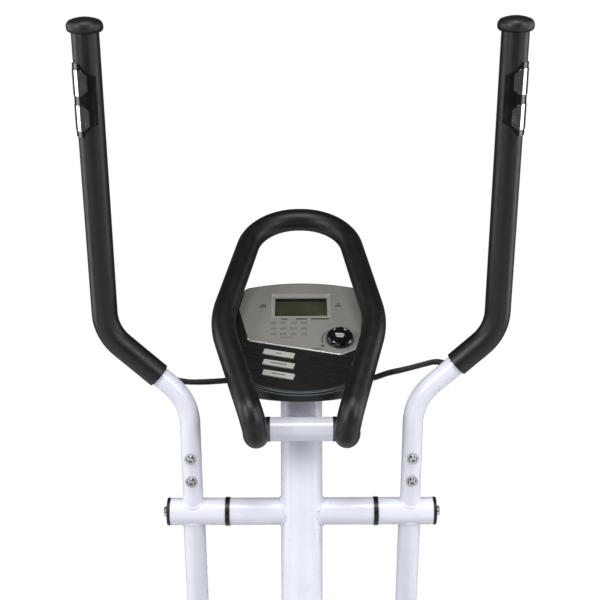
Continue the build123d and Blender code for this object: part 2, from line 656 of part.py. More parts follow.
def console_key(key_l):
    outline = RectangleRounded(KEY_WIDTH - 2 * KEY_GAP, KEY_HEIGHT - 2 * KEY_GAP, KEY_CORNER)
    body = extrude(Pos(0, 0, KEY_FOOT_Z) * outline, amount=KEY_RISE - KEY_FOOT_Z)
    crown = body.faces().sort_by(Axis.Z)[-1].edges()
    body = fillet(crown, KEY_CROWN)
    return console_plane() * (Pos(KEY_X, key_l) * Rot(0, 0, KEY_SLOPE) * body)


def dial_stem():
    stem = Pos(DIAL_X, DIAL_L, -13) * Cylinder(DIAL_STEM_OD / 2, DIAL_RISE + 9,
                                               align=(Align.CENTER, Align.CENTER, Align.MIN))
    return console_plane() * stem


def dial_knob():
    radius = DIAL_OD / 2
    lip_outer = radius - 2.6
    lip_inner = lip_outer - DIAL_LIP
    profile = Polyline((0, DIAL_FOOT), (radius, DIAL_FOOT), (radius, DIAL_FOOT + 4),
                       (radius - 1.4, DIAL_RISE - 1.2), (lip_outer, DIAL_RISE), (lip_inner, DIAL_RISE),
                       (lip_inner - 1.4, DIAL_RISE - 1.2), (0, DIAL_RISE - 1.2), close=True)
    knob = revolve(Plane.XZ * make_face(profile), Axis.Z)
    knob -= Cylinder(DIAL_STEM_OD / 2 + BUSH_RUNNING_GAP, 2 * (DIAL_RISE - 3.6))
    return console_plane() * (Pos(DIAL_X, DIAL_L) * knob)


def console_bracket():
    length = BRACKET_L[1] - BRACKET_L[0]
    middle = (BRACKET_L[0] + BRACKET_L[1]) / 2
    plate = extrude(Pos(0, middle, -BRACKET_DEPTH - BRACKET_THICK) *
                    RectangleRounded(2 * BRACKET_HALF, length, 8), amount=BRACKET_THICK)
    for x, l in BRACKET_SCREWS:
        plate -= Pos(x, l, -BRACKET_DEPTH) * Cylinder(SCREW_SHANK / 2 + 0.2, 20)
    return console_plane() * plate


def casing_screws():
    """Self-tapping screws: four hold the console on its bracket, the others close the drive housing."""
    screws = []
    for x, l in BRACKET_SCREWS:
        place = Pos(x, l, -BRACKET_DEPTH - BRACKET_THICK - 0.05) * Rot(180, 0, 0)
        screws.append(console_plane() * (place * button_head(SCREW_HEAD, SCREW_SHANK - 0.1, 9)))
    for y, z in HOUSING_SCREWS:
        place = Plane((HOUSING_HALF + 0.05, y, z), z_dir=(1, 0, 0))
        screws.append(place * button_head(SCREW_HEAD, SCREW_SHANK - 0.1, 6))
    return Compound(children=[solid for screw in screws for solid in screw.solids()])


# ---- sensor cable sleeves

def sleeve_start():
    """Where the right sleeve's end sits inside the console."""
    x, l, depth = SLEEVE_START
    return console_plane(depth).from_local_coords(Vector(x, l, 0))


def rising_v(u):
    """How high the arm's sloping run is at u."""
    rise = (GRIP_BEND[1] - STEM_BEND[1]) / (GRIP_BEND[0] - STEM_BEND[0])
    return STEM_BEND[1] + (u - STEM_BEND[0]) * rise


def route_radii(points):
    """Each corner's radius is 0.45 of its shorter run over the tangent of half the turn."""
    radii = []
    for before, corner, after in zip(points, points[1:], points[2:]):
        run_in = corner - before
        run_out = after - corner
        turn = run_in.get_angle(run_out)
        radii.append(0.45 * min(run_in.length, run_out.length) / math.tan(math.radians(turn / 2)))
    return radii


def sensor_cable(side, route, hole_u):
    """A ribbed sleeve from inside the console to a hole in the back of the arm tube, which trims its end."""
    inside = sleeve_start()
    start = Vector(side * inside.X, inside.Y, inside.Z)
    lead = start + Vector(side * SLEEVE_LEAD, 0, 0)
    middle = [Vector(x, PIVOT_Y + forward, PIVOT_Z + up) for x, forward, up in route]
    end = Vector(*arm_point(side, hole_u, rising_v(hole_u), SLEEVE_END_OUT))
    points = [start, lead, *middle, end]
    radii = route_radii(points)
    print("sleeve radii", side, [round(r) for r in radii])
    arm_run = [arm_point(side, *STEM_BEND), arm_point(side, *GRIP_BEND)]
    return pipe(points, radii, SLEEVE_OD) - pipe(arm_run, [], UPPER_OD + 2 * SLEEVE_CUT_GAP)


# ---- swing arms

def tilted_plane(side, u, v, turn=0.0):
    """A plane at a point of the straight grip, z along the grip, y facing the user and turned outboard."""
    axis = Vector(0, -sin(ARM_TILT), cos(ARM_TILT))
    facing = Vector(0, -cos(ARM_TILT), -sin(ARM_TILT))
    across = Vector(side, 0, 0)
    normal = facing * cos(turn) + across * sin(turn)
    x_dir = normal.cross(axis)
    return Plane(Vector(*arm_point(side, u, v)), x_dir=x_dir, z_dir=axis)


def lower_arm(side):
    """The hub on the axle, a short stub with its spigot above, and the long tube down to the lower joint."""
    x = side * ARM_X
    hub = along_x(HUB_OD / 2, side * HUB_START, side * HUB_END, PIVOT_Y, PIVOT_Z)
    stub = pipe([arm_point(side, ARM_X, 0), arm_point(side, ARM_X, UPPER_SEAM - 0.2)], [], UPPER_OD)
    spigot = pipe([arm_point(side, ARM_X, 10), arm_point(side, ARM_X, SPIGOT_TOP)], [],
                  UPPER_OD - 2 * TUBE_WALL - 2 * TUBE_GAP)
    tube = pipe([(x, PIVOT_Y, PIVOT_Z), (x, JOINT_Y, JOINT_Z)], [], LOWER_OD)
    joint = along_x(JOINT_OD / 2, x - JOINT_HALF, x + JOINT_HALF, JOINT_Y, JOINT_Z)
    arm = hub + stub + spigot + tube + joint
    arm -= along_x(BUSH_OD / 2, side * (HUB_START - 1), side * (HUB_END + 1), PIVOT_Y, PIVOT_Z)
    arm -= along_x(JOINT_BOLT / 2 + JOINT_RUNNING_GAP, x - JOINT_HALF - 1, x + JOINT_HALF + 1, JOINT_Y,
                   JOINT_Z)
    for v in ARM_BOLT_HEIGHTS:
        arm -= pipe([arm_point(side, ARM_X, v, -40), arm_point(side, ARM_X, v, 8)], [], ARM_BOLT_SHANK)
    return arm


def upper_route(side, start_v):
    return [arm_point(side, ARM_X, start_v), arm_point(side, *STEM_BEND), arm_point(side, *GRIP_BEND),
            arm_point(side, GRIP_BEND[0], GRIP_TOP - 0.5)]


def upper_arm(side):
    tube = pipe(upper_route(side, UPPER_SEAM), [STEM_BEND_R, GRIP_BEND_R], UPPER_OD, UPPER_OD - 2 * TUBE_WALL)
    for v in ARM_BOLT_HEIGHTS:
        tube -= pipe([arm_point(side, ARM_X, v, -40), arm_point(side, ARM_X, v, 0)], [], ARM_BOLT_SHANK)
    return tube


def grip_foam(side, start_u):
    route = [arm_point(side, start_u, rising_v(start_u)), arm_point(side, *GRIP_BEND),
             arm_point(side, GRIP_BEND[0], GRIP_TOP)]
    return pipe(route, [GRIP_BEND_R], GRIP_FOAM_OD, UPPER_OD + 2 * FOAM_GAP)


def arm_caps(side):
    """The mushroom plug on top of the grip and the ring cap on the hub's outer end."""
    rim = GRIP_CAP_OD / 2
    head = Pos(0, 0, GRIP_CAP_HEIGHT / 2 + 0.2) * Cylinder(rim, GRIP_CAP_HEIGHT)
    head &= Pos(0, 0, GRIP_CAP_HEIGHT + 0.2 - GRIP_CAP_CROWN_R) * Sphere(GRIP_CAP_CROWN_R)
    shoulder = [e for e in head.edges().filter_by(GeomType.CIRCLE) if e.center().Z > GRIP_CAP_HEIGHT / 2]
    head = fillet(shoulder, GRIP_CAP_TOP_ROUND)
    head = fillet(head.edges().sort_by(Axis.Z)[0], GRIP_CAP_UNDER_ROUND)
    stub = Pos(0, 0, -12) * Cylinder(UPPER_OD / 2 - TUBE_WALL - 0.1, 26)
    plug = head + stub
    plug = tilted_plane(side, GRIP_BEND[0], GRIP_TOP) * plug
    cap = ring_x(HUB_OD / 2 + 0.4, PIVOT_BOLT / 2 + TUBE_GAP, side * (HUB_END + 0.05),
                 side * (HUB_END + CAP_FLANGE), PIVOT_Y, PIVOT_Z)
    cap += ring_x(BUSH_OD / 2 - 0.1, PIVOT_BOLT / 2 + TUBE_GAP, side * (AXLE_HALF + 1),
                  side * (HUB_END + 0.05), PIVOT_Y, PIVOT_Z)
    return Compound(children=[*plug.solids(), *cap.solids()])


def arm_bolts(side):
    """Two button-head bolts with washers that hold the upper arm on the lower one."""
    bolts = []
    for v in ARM_BOLT_HEIGHTS:
        seat = Vector(*arm_point(side, ARM_X, v, -UPPER_OD / 2 - 1.35))
        place = Plane(seat, x_dir=(1, 0, 0), z_dir=(0, -cos(ARM_TILT), -sin(ARM_TILT)))
        reach = UPPER_OD / 2 + 6
        bolts.append(place * button_head(ARM_BOLT_HEAD, ARM_BOLT_SHANK - 0.1, reach, ARM_WASHER_OD))
    return Compound(children=[solid for bolt in bolts for solid in bolt.solids()])


def pulse_patch(side, inner, outer, half_width, half_length, middle=0.0, corner=0.35):
    """A curved patch of a sleeve round the grip, its outline a long hexagon seen from its facing side."""
    place = tilted_plane(side, GRIP_BEND[0], PULSE_HEIGHT, PULSE_TURN)
    sleeve = Circle(outer) - Circle(inner)
    sleeve = extrude(Pos(0, 0, middle - half_length) * sleeve, amount=2 * half_length)
    narrow = half_width * (1 - corner)
    shoulder = half_length * 0.62
    outline = Polyline((-narrow, -half_length), (narrow, -half_length), (half_width, -shoulder),
                       (half_width, shoulder), (narrow, half_length), (-narrow, half_length),
                       (-half_width, shoulder), (-half_width, -shoulder), close=True)
    window = Pos(0, 0, middle) * (Plane.XZ * extrude(make_face(outline), amount=-60))
    return place * (sleeve & window)


def pulse_housing(side):
    inner = GRIP_FOAM_OD / 2 + 0.1
    outer = inner + PULSE_SHELL
    return pulse_patch(side, inner, outer, outer * sin(PULSE_SPREAD), PULSE_LENGTH / 2, corner=0.6)


def pulse_plates(side):
    inner = GRIP_FOAM_OD / 2 + 0.1 + PULSE_SHELL + 0.02
    shift = (PLATE_LENGTH + PLATE_GAP) / 2
    plates = [pulse_patch(side, inner, inner + PLATE_THICK, PLATE_HALF_WIDTH, PLATE_LENGTH / 2, middle)
              for middle in (-shift, shift)]
    return Compound(children=[solid for plate in plates for solid in plate.solids()])


# ---- crank, belt and flywheel

def crank_pin(side):
    """Where a pedal bar's rear end sits: the left one up and the right one down at rest."""
    along = -side * CRANK_R
    return (CRANK_Y - along * math.sin(CRANK_PIN_TILT), CRANK_Z + along * math.cos(CRANK_PIN_TILT))


def crank_shaft():
    reach = CRANK_ARM_X + CRANK_ARM_THICK + 1
    return along_x(CRANK_SHAFT_OD / 2, -reach, reach, CRANK_Y, CRANK_Z)


def crank_arms():
    arms = []
    for side in SIDES.values():
        pin_y, pin_z = crank_pin(side)
        start = side * CRANK_ARM_X
        end = side * (CRANK_ARM_X + CRANK_ARM_THICK)
        eye = along_x(CRANK_ARM_WIDTH / 2, start, end, pin_y, pin_z)
        boss = along_x(CRANK_ARM_WIDTH / 2 + 4, start, end, CRANK_Y, CRANK_Z)
        centre = (min(start, end), (pin_y + CRANK_Y) / 2, (pin_z + CRANK_Z) / 2)
        middle = Plane(centre, x_dir=(0, pin_y - CRANK_Y, pin_z - CRANK_Z), z_dir=(1, 0, 0))
        web = middle * extrude(Rectangle(CRANK_R, CRANK_ARM_WIDTH), amount=CRANK_ARM_THICK)
        bore = along_x(CRANK_SHAFT_OD / 2, start - side, end + side, CRANK_Y, CRANK_Z)
        arms.append(eye + boss + web - bore)
    return Compound(children=[solid for arm in arms for solid in arm.solids()])


def crank_pulley():
    end = PULLEY_X + PULLEY_WIDTH
    rim = ring_x(CRANK_PULLEY_OD / 2, CRANK_PULLEY_OD / 2 - 8, PULLEY_X, end, CRANK_Y, CRANK_Z)
    web = ring_x(CRANK_PULLEY_OD / 2 - 7, CRANK_SHAFT_OD / 2, PULLEY_X + 3, end - 3, CRANK_Y, CRANK_Z)
    hub = ring_x(24, CRANK_SHAFT_OD / 2, PULLEY_X, end + 6, CRANK_Y, CRANK_Z)
    for number in range(6):
        angle = number * 60
        y = CRANK_Y + 65 * cos(angle)
        z = CRANK_Z + 65 * sin(angle)
        web -= along_x(18, PULLEY_X, end, y, z)
    return rim + web + hub


def drive_bearings():
    bearings = []
    fly_y = CRANK_Y + FLYWHEEL_DY
    for side in SIDES.values():
        bearings.append(ring_x(CRANK_BEARING_OD / 2, CRANK_SHAFT_OD / 2 + BUSH_RUNNING_GAP,
                               side * (CRANK_TUBE_HALF - 12), side * CRANK_TUBE_HALF, CRANK_Y, CRANK_Z))
        bearings.append(ring_x(FLY_BEARING_OD / 2, FLYWHEEL_SHAFT_OD / 2 + BUSH_RUNNING_GAP,
                               side * (SIDE_PLATE_X - 4), side * (SIDE_PLATE_X + SIDE_PLATE_THICK),
                               fly_y, FLYWHEEL_Z))
    return Compound(children=[solid for bearing in bearings for solid in bearing.solids()])


def flywheel():
    """A heavy disc with a thick rim on its shaft, with the small belt pulley on the shaft's end."""
    y = CRANK_Y + FLYWHEEL_DY
    rim = ring_x(FLYWHEEL_OD / 2, FLYWHEEL_OD / 2 - 28, -FLYWHEEL_HALF, FLYWHEEL_HALF, y, FLYWHEEL_Z)
    web = along_x(FLYWHEEL_OD / 2 - 27, -5, 5, y, FLYWHEEL_Z)
    hub = along_x(22, -FLYWHEEL_HALF, FLYWHEEL_HALF, y, FLYWHEEL_Z)
    shaft = along_x(FLYWHEEL_SHAFT_OD / 2, -SIDE_PLATE_X - 12, PULLEY_X + PULLEY_WIDTH + 2, y, FLYWHEEL_Z)
    pulley = along_x(SMALL_PULLEY_OD / 2, PULLEY_X, PULLEY_X + PULLEY_WIDTH, y, FLYWHEEL_Z)
    return rim + web + hub + shaft + pulley


def belt_loop(extra):
    big = Pos(CRANK_Y, CRANK_Z) * Circle(CRANK_PULLEY_OD / 2 + extra)
    small = Pos(CRANK_Y + FLYWHEEL_DY, FLYWHEEL_Z) * Circle(SMALL_PULLEY_OD / 2 + extra)
    return make_hull(big.edges() + small.edges())


def drive_belt():
    section = belt_loop(BELT_CLEAR + BELT_THICK) - belt_loop(BELT_CLEAR)
    place = Plane((PULLEY_X + 1, 0, 0), x_dir=(0, 1, 0), z_dir=(1, 0, 0))
    return place * extrude(section, amount=BELT_WIDTH)


def idler_centre():
    """The idler sits under the belt's lower run, at the middle of the two pulleys."""
    big = Vector(CRANK_Y, CRANK_Z)
    small = Vector(CRANK_Y + FLYWHEEL_DY, FLYWHEEL_Z)
    line = (small - big).normalized()
    drop = (CRANK_PULLEY_OD - SMALL_PULLEY_OD) / 2 / (small - big).length
    down = Vector(line.Y, -line.X) * math.sqrt(1 - drop * drop) + line * drop
    contact = (big + down * (CRANK_PULLEY_OD / 2) + small + down * (SMALL_PULLEY_OD / 2)) * 0.5
    centre = contact + down * (BELT_CLEAR + BELT_THICK + 0.3 + IDLER_OD / 2)
    return centre.X, centre.Y


def idler_pulley():
    y, z = idler_centre()
    return ring_x(IDLER_OD / 2, 5 + BUSH_RUNNING_GAP, PULLEY_X, PULLEY_X + PULLEY_WIDTH, y, z)


def drive_pins():
    """The idler's pin on its round seat on the right upright, and the magnet bracket's pin across both."""
    y, z = idler_centre()
    pin = along_x(5, SIDE_PLATE_X + SIDE_PLATE_THICK, PULLEY_X + PULLEY_WIDTH + 2, y, z)
    seat = along_x(14, SIDE_PLATE_X + SIDE_PLATE_THICK, SIDE_PLATE_X + SIDE_PLATE_THICK + 4, y, z)
    idler_pin = pin + seat
    pin_y, pin_z = magnet_pivot()
    magnet_pin = along_x(3, -SIDE_PLATE_X - SIDE_PLATE_THICK, SIDE_PLATE_X + SIDE_PLATE_THICK, pin_y, pin_z)
    return Compound(children=[*idler_pin.solids(), *magnet_pin.solids()])


def magnet_bracket():
    """A curved steel shoe with magnets along the flywheel's front, hinged at its lower end."""
    y = CRANK_Y + FLYWHEEL_DY
    inner = FLYWHEEL_OD / 2 + MAGNET_GAP
    shoe = ring_x(inner + 8, inner, -12, 12, y, FLYWHEEL_Z)
    wedge = make_face(Polyline((0, 0), (200, -110), (200, 90), close=True))
    shoe &= Plane((-20, y, FLYWHEEL_Z), x_dir=(0, 1, 0), z_dir=(1, 0, 0)) * extrude(wedge, amount=40)
    pin_y, pin_z = magnet_pivot()
    eye = along_x(7, -12, 12, pin_y, pin_z)
    return shoe + eye - along_x(3 + BUSH_RUNNING_GAP, -20, 20, pin_y, pin_z)


def magnet_pivot():
    reach = FLYWHEEL_OD / 2 + MAGNET_GAP + 4
    return CRANK_Y + FLYWHEEL_DY + reach * cos(-26), FLYWHEEL_Z + reach * sin(-26) - 6


def brake_servo():
    """The gear motor that sets the brake, on the left upright."""
    low = -SIDE_PLATE_X - SIDE_PLATE_THICK
    return Pos(low - 11, CRANK_Y + 150, 175) * Box(22, 56, 44)


# ---- drive housing

def housing_outline(inset=0.0):
    rear = Pos(CRANK_Y, CRANK_Z) * Circle(HOUSING_REAR_R)
    front = Pos(CRANK_Y + FLYWHEEL_DY, FLYWHEEL_Z) * Circle(HOUSING_FRONT_R)
    foot = Pos(CRANK_Y + FLYWHEEL_DY / 2 - 5, (HOUSING_BOTTOM + CRANK_Z) / 2) * Rectangle(
        FLYWHEEL_DY + HOUSING_REAR_R * 1.1, CRANK_Z - HOUSING_BOTTOM)
    hull = make_hull(rear.edges() + front.edges() + foot.edges())
    return offset(hull, amount=-inset) if inset else hull


def housing_shell(side):
    place = Plane((SHELL_GAP / 2, 0, 0), x_dir=(0, 1, 0), z_dir=(1, 0, 0))
    shell = place * extrude(housing_outline(), amount=HOUSING_HALF - SHELL_GAP / 2)
    rim = shell.faces().sort_by(Axis.X)[-1].outer_wire().edges()
    shell = fillet(rim, HOUSING_ROUND)
    inside = place * extrude(Pos(0, 0, -1) * housing_outline(HOUSING_WALL),
                             amount=HOUSING_HALF - SHELL_GAP / 2 - HOUSING_WALL + 1)
    inside = fillet(inside.faces().sort_by(Axis.X)[-1].outer_wire().edges(), HOUSING_ROUND - HOUSING_WALL)
    shell -= inside
    shell -= along_x(CRANK_SHAFT_OD / 2 + 4, 0, HOUSING_HALF + 5, CRANK_Y, CRANK_Z)
    middle_y = CRANK_Y + FLYWHEEL_DY / 2 - 5
    shell -= Pos(0, middle_y, HOUSING_BOTTOM) * Box(2 * (SIDE_PLATE_X + SIDE_PLATE_THICK + 2),
                                                    FLYWHEEL_DY + 130, 20)
    if side < 0:
        return mirrored(shell)
    for y, z in HOUSING_SCREWS:
        shell -= along_x(SCREW_SHANK / 2, HOUSING_HALF - 8, HOUSING_HALF + 2, y, z)
    return shell


# ---- pedal bars and platforms

def bar_plane(side):
    """A plane at the lower joint, x along the bar towards its crank pin, y upwards, z along the row's X."""
    pin_y, pin_z = crank_pin(side)
    back = Vector(0, pin_y - JOINT_Y, pin_z - JOINT_Z)
    up = Vector(0, -back.Z, back.Y) * -1
    return Plane((side * BAR_X, JOINT_Y, JOINT_Z), x_dir=back, z_dir=back.cross(up)), back.length


def pedal_bar(side):
    place, length = bar_plane(side)
    yoke_half = JOINT_HALF + CLEVIS_GAP + CLEVIS_PLATE
    tube_start = YOKE_DEPTH - 2
    tube = Pos((tube_start + length) / 2, 0, 0) * (Box(length - tube_start, BAR_HEIGHT, BAR_WIDTH)
                                                   - Box(length, BAR_HEIGHT - 2 * BAR_WALL,
                                                         BAR_WIDTH - 2 * BAR_WALL))
    yoke = Pos(YOKE_DEPTH - YOKE_BLOCK / 2, 0, 0) * Box(YOKE_BLOCK, JOINT_OD, 2 * yoke_half)
    for face in (-1, 1):
        z = face * (JOINT_HALF + CLEVIS_GAP + CLEVIS_PLATE / 2)
        yoke += Pos(YOKE_DEPTH / 2, 0, z) * Box(YOKE_DEPTH, JOINT_OD, CLEVIS_PLATE)
        yoke += Pos(0, 0, z) * Cylinder(JOINT_OD / 2, CLEVIS_PLATE)
    yoke -= Cylinder(JOINT_BOLT / 2 + 0.02, 4 * yoke_half)
    end = Pos(length, 0, 0) * Cylinder(BAR_HEIGHT / 2, BAR_WIDTH)
    bar = tube + yoke + end - Pos(length, 0, 0) * Cylinder(PIN_OD / 2 + 0.02, BAR_WIDTH * 2)
    return place * bar


def platform(side):
    """A moulded foot tray with a raised lip round it, bolted on top of its bar."""
    place, length = bar_plane(side)
    middle_x = side * ((PLATFORM_X[0] + PLATFORM_X[1]) / 2 - BAR_X)
    width = PLATFORM_X[1] - PLATFORM_X[0]
    z_flip = 1 if place.z_dir.X > 0 else -1
    centre = length - PLATFORM_FROM_CRANK - PLATFORM_LENGTH / 2
    outer = RectangleRounded(PLATFORM_LENGTH, width, 30)
    tray = extrude(outer, amount=PLATFORM_LIP)
    tray -= Pos(0, 0, PLATFORM_FLOOR) * extrude(RectangleRounded(PLATFORM_LENGTH - 10, width - 10, 26),
                                                amount=PLATFORM_LIP)
    heel_block = Box(PLATFORM_LENGTH, width + 10, 44)
    heel_cut = Pos(PLATFORM_LENGTH / 2, 0, PLATFORM_LIP) * Rot(0, 12, 0) * heel_block
    tray -= heel_cut
    rib_count = 9
    for number in range(rib_count):
        x = -PLATFORM_LENGTH * 0.38 + number * PLATFORM_LENGTH * 0.76 / (rib_count - 1)
        tray += Pos(x, 0, PLATFORM_FLOOR + 0.9) * Box(5, width - 34, 2)
    lay = Plane((0, 0, 0), x_dir=(1, 0, 0), z_dir=(0, 1, 0))
    laid = Pos(centre, BAR_HEIGHT / 2 + 0.02, z_flip * middle_x) * (lay * tray)
    return place * laid


def bar_bolts(side):
    """The lower joint's through bolt with its nut, and the crank pin with its head."""
    place, length = bar_plane(side)
    out = 1 if (place.z_dir.X > 0) == (side > 0) else -1
    yoke_half = JOINT_HALF + CLEVIS_GAP + CLEVIS_PLATE
    bolt = Cylinder(JOINT_BOLT / 2, 2 * yoke_half + 16)
    bolt += Pos(0, 0, out * (yoke_half + 3.6)) * Cylinder(10, 7)
    bolt += Pos(0, 0, -out * (yoke_half + 3.6)) * extrude(Pos(0, 0, -3.5) * RegularPolygon(10, 6), amount=7)
    inner = BAR_X - PIN_INNER_X
    outer = BAR_WIDTH / 2 + 8
    pin_length = inner + outer
    pin = Pos(length, 0, out * (outer - inner) / 2) * Cylinder(PIN_OD / 2, pin_length)
    pin += Pos(length, 0, out * (BAR_WIDTH / 2 + 4)) * Cylinder(PIN_OD / 2 + 5, 7.8)
    pin += Pos(length, 0, -out * (BAR_WIDTH / 2 + 4)) * Cylinder(PIN_OD / 2 + 4, 7.8)
    return Compound(children=[*(place * bolt).solids(), *(place * pin).solids()])


def build():
    save(base_frame(), "base_frame")
    save(stabiliser(FRONT_STAB_Y), "front_stabiliser")
    save(stabiliser(REAR_STAB_Y), "rear_stabiliser")
    stabiliser_ys = (FRONT_STAB_Y, REAR_STAB_Y)
    caps = [end_cap(side, stab_y, stab_y > 0) for side in SIDES.values() for stab_y in stabiliser_ys]
    save(Compound(children=[solid for cap in caps for solid in cap.solids()]), "stabiliser_end_caps")
    save(frame_bolts(), "frame_bolts")
    save(mast(), "mast")
    save(pivot_axle(), "pivot_axle")
    save(pivot_bushes(), "pivot_bushes")
    save(loop_handlebar(), "loop_handlebar")
    save(loop_foam(), "loop_foam")
    save(console_bracket(), "console_bracket")
    save(console_back(), "console_back")
    save(console_front(), "console_front")
    save(console_faceplate(), "console_faceplate")
    save(display_lens(), "display_lens")
    save(display_panel(), "display_panel")
    save(console_board(), "console_board")
    for name, key_l in zip(KEY_NAMES, KEY_L):
        save(console_key(key_l), name)
    save(dial_stem(), "dial_stem")
    save(dial_knob(), "dial_knob")
    save(casing_screws(), "casing_screws")
    save(sensor_cable(-1, SLEEVE_ROUTE_LEFT, ARM_HOLE_LEFT_U), "left_sensor_cable")
    save(sensor_cable(1, SLEEVE_ROUTE_RIGHT, ARM_HOLE_RIGHT_U), "right_sensor_cable")
    save(crank_shaft(), "crank_shaft")
    save(crank_arms(), "crank_arms")
    save(crank_pulley(), "crank_pulley")
    save(drive_bearings(), "drive_bearings")
    save(drive_belt(), "drive_belt")
    save(flywheel(), "flywheel")
    save(idler_pulley(), "idler_pulley")
    save(drive_pins(), "drive_pins")
    save(magnet_bracket(), "magnet_bracket")
    save(brake_servo(), "brake_servo")
    for word, side in SIDES.items():
        save(transport_wheel(side), f"{word}_transport_wheel")
        save(lower_arm(side), f"{word}_lower_arm")
        save(upper_arm(side), f"{word}_upper_arm")
        save(grip_foam(side, GRIP_START_LEFT if side < 0 else GRIP_START_RIGHT), f"{word}_grip_foam")
        save(arm_caps(side), f"{word}_arm_caps")
        save(arm_bolts(side), f"{word}_arm_bolts")
        save(pulse_housing(side), f"{word}_pulse_housing")
        save(pulse_plates(side), f"{word}_pulse_plates")
        save(housing_shell(side), f"{word}_housing")
        save(pedal_bar(side), f"{word}_pedal_bar")
        save(platform(side), f"{word}_platform")
        save(bar_bolts(side), f"{word}_bar_bolts")


build()
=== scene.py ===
import json
import math

import bmesh
import bpy
from mathutils import Matrix, Vector


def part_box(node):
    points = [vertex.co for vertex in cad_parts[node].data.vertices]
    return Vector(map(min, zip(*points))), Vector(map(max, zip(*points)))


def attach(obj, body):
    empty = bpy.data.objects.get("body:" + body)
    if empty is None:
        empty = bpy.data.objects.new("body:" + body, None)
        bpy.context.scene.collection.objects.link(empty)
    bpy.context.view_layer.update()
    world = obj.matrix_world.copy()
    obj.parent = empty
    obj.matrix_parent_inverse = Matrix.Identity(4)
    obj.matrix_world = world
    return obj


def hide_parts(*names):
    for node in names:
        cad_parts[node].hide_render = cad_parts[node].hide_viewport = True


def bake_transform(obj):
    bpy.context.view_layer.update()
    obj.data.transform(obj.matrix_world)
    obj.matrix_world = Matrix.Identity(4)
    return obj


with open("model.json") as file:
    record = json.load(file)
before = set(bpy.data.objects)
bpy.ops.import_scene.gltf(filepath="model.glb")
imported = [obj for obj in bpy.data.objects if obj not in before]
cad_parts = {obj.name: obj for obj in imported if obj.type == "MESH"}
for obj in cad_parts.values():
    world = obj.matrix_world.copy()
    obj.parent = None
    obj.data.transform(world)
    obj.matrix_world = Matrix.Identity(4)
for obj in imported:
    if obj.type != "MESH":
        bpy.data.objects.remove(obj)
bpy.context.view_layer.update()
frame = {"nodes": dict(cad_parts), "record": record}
nodes = frame["nodes"]

MM = 0.001

# The places that the looks share with the frame: the swing axle, the console's face and the grips.
axle_low, axle_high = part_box("pivot_axle")
PIVOT = (Vector(axle_low) + Vector(axle_high)) / 2
CONSOLE_TILT = math.radians(52)
CONSOLE_ORIGIN = PIVOT + Vector((0, -77 * MM, 178.4 * MM))
CONSOLE_UP = Vector((0, math.sin(CONSOLE_TILT), math.cos(CONSOLE_TILT)))
ARM_TILT = math.radians(20)
ARM_X = 157 * MM
MAST_LEAN = math.radians(5)
LOWER_LEAN = math.radians(22)

# Radii of the welded tubes, in millimetres.
MAST_R = 30.0
HUB_R = 19.5
STUB_R = 14.3
LOWER_R = 15.9

# Levels and thicknesses over the console's face, and the dial's centre on it, in millimetres.
PLATE_FACE = 0.5
INK_THICK = 0.08
KEY_INK_THICK = 0.06
DIAL_X = 56.6
DIAL_L = 113
DIAL_DISC_R = 13.6
DIAL_DISC_LEVEL = 9.3
DIAL_MARK_LEVEL = 9.57
LCD_LEVEL = -3.98
# The next level is that of the dark strip painted as the shadow inside the display's recess.
SHADOW_STRIP_LEVEL = -0.55
SURROUND_THICK = 0.9

# Light strengths, and the lens and place of the eye, in millimetres from the swing axle.
ROOM_LIGHT = 0.08
KEY_LIGHT = 56
SENSOR_WIDTH = 36.0
LENS = 64.2
EYE = (-1.5, -1557, 307)


# ---- node and colour helpers

def srgb(code):
    """A hex colour turned linear, with alpha 1."""
    parts = [int(code[i:i + 2], 16) / 255 for i in (0, 2, 4)]
    linear = [c / 12.92 if c <= 0.04045 else ((c + 0.055) / 1.055) ** 2.4 for c in parts]
    return (*linear, 1.0)


def add(tree, kind, settings=None, links=None):
    """Adds a node, sets its properties or sockets by name, and links (node, output) pairs to it."""
    node = tree.nodes.new(kind)
    for key, value in (settings or {}).items():
        if isinstance(key, str) and hasattr(node, key):
            setattr(node, key, value)
        else:
            node.inputs[key].default_value = value
    for key, (source, output) in (links or {}).items():
        tree.links.new(source.outputs[output], node.inputs[key])
    return node


def finish_material(name, shader_settings, build=None):
    """A material with one Principled shader, whose varying sockets build() links."""
    material = bpy.data.materials.new(name)
    material.use_nodes = True
    tree = material.node_tree
    shader = tree.nodes["Principled BSDF"]
    for key, value in shader_settings.items():
        shader.inputs[key].default_value = value
    if build:
        build(tree, shader)
    return material


def grain_bump(tree, shader, size_mm, depth_mm, strength=1.0, detail=2.0):
    """A noise grain of that size and depth, on Object coordinates."""
    place = add(tree, "ShaderNodeTexCoord")
    noise = add(tree, "ShaderNodeTexNoise", {"Scale": 1 / (size_mm * MM), "Detail": detail},
                {"Vector": (place, "Object")})
    bump = add(tree, "ShaderNodeBump", {"Strength": strength, "Distance": depth_mm * MM},
               {"Height": (noise, "Fac")})
    tree.links.new(bump.outputs["Normal"], shader.inputs["Normal"])
    return place, noise, bump


def tint(tree, shader, place, low, high, size_mm):
    """Lets the base colour drift between two close tones."""
    drift = add(tree, "ShaderNodeTexNoise", {"Scale": 1 / (size_mm * MM), "Detail": 3.0},
                {"Vector": (place, "Object")})
    ramp = add(tree, "ShaderNodeValToRGB", {}, {"Fac": (drift, "Fac")})
    ramp.color_ramp.elements[0].position = 0.35
    ramp.color_ramp.elements[0].color = srgb(low)
    ramp.color_ramp.elements[1].position = 0.65
    ramp.color_ramp.elements[1].color = srgb(high)
    tree.links.new(ramp.outputs["Color"], shader.inputs["Base Color"])


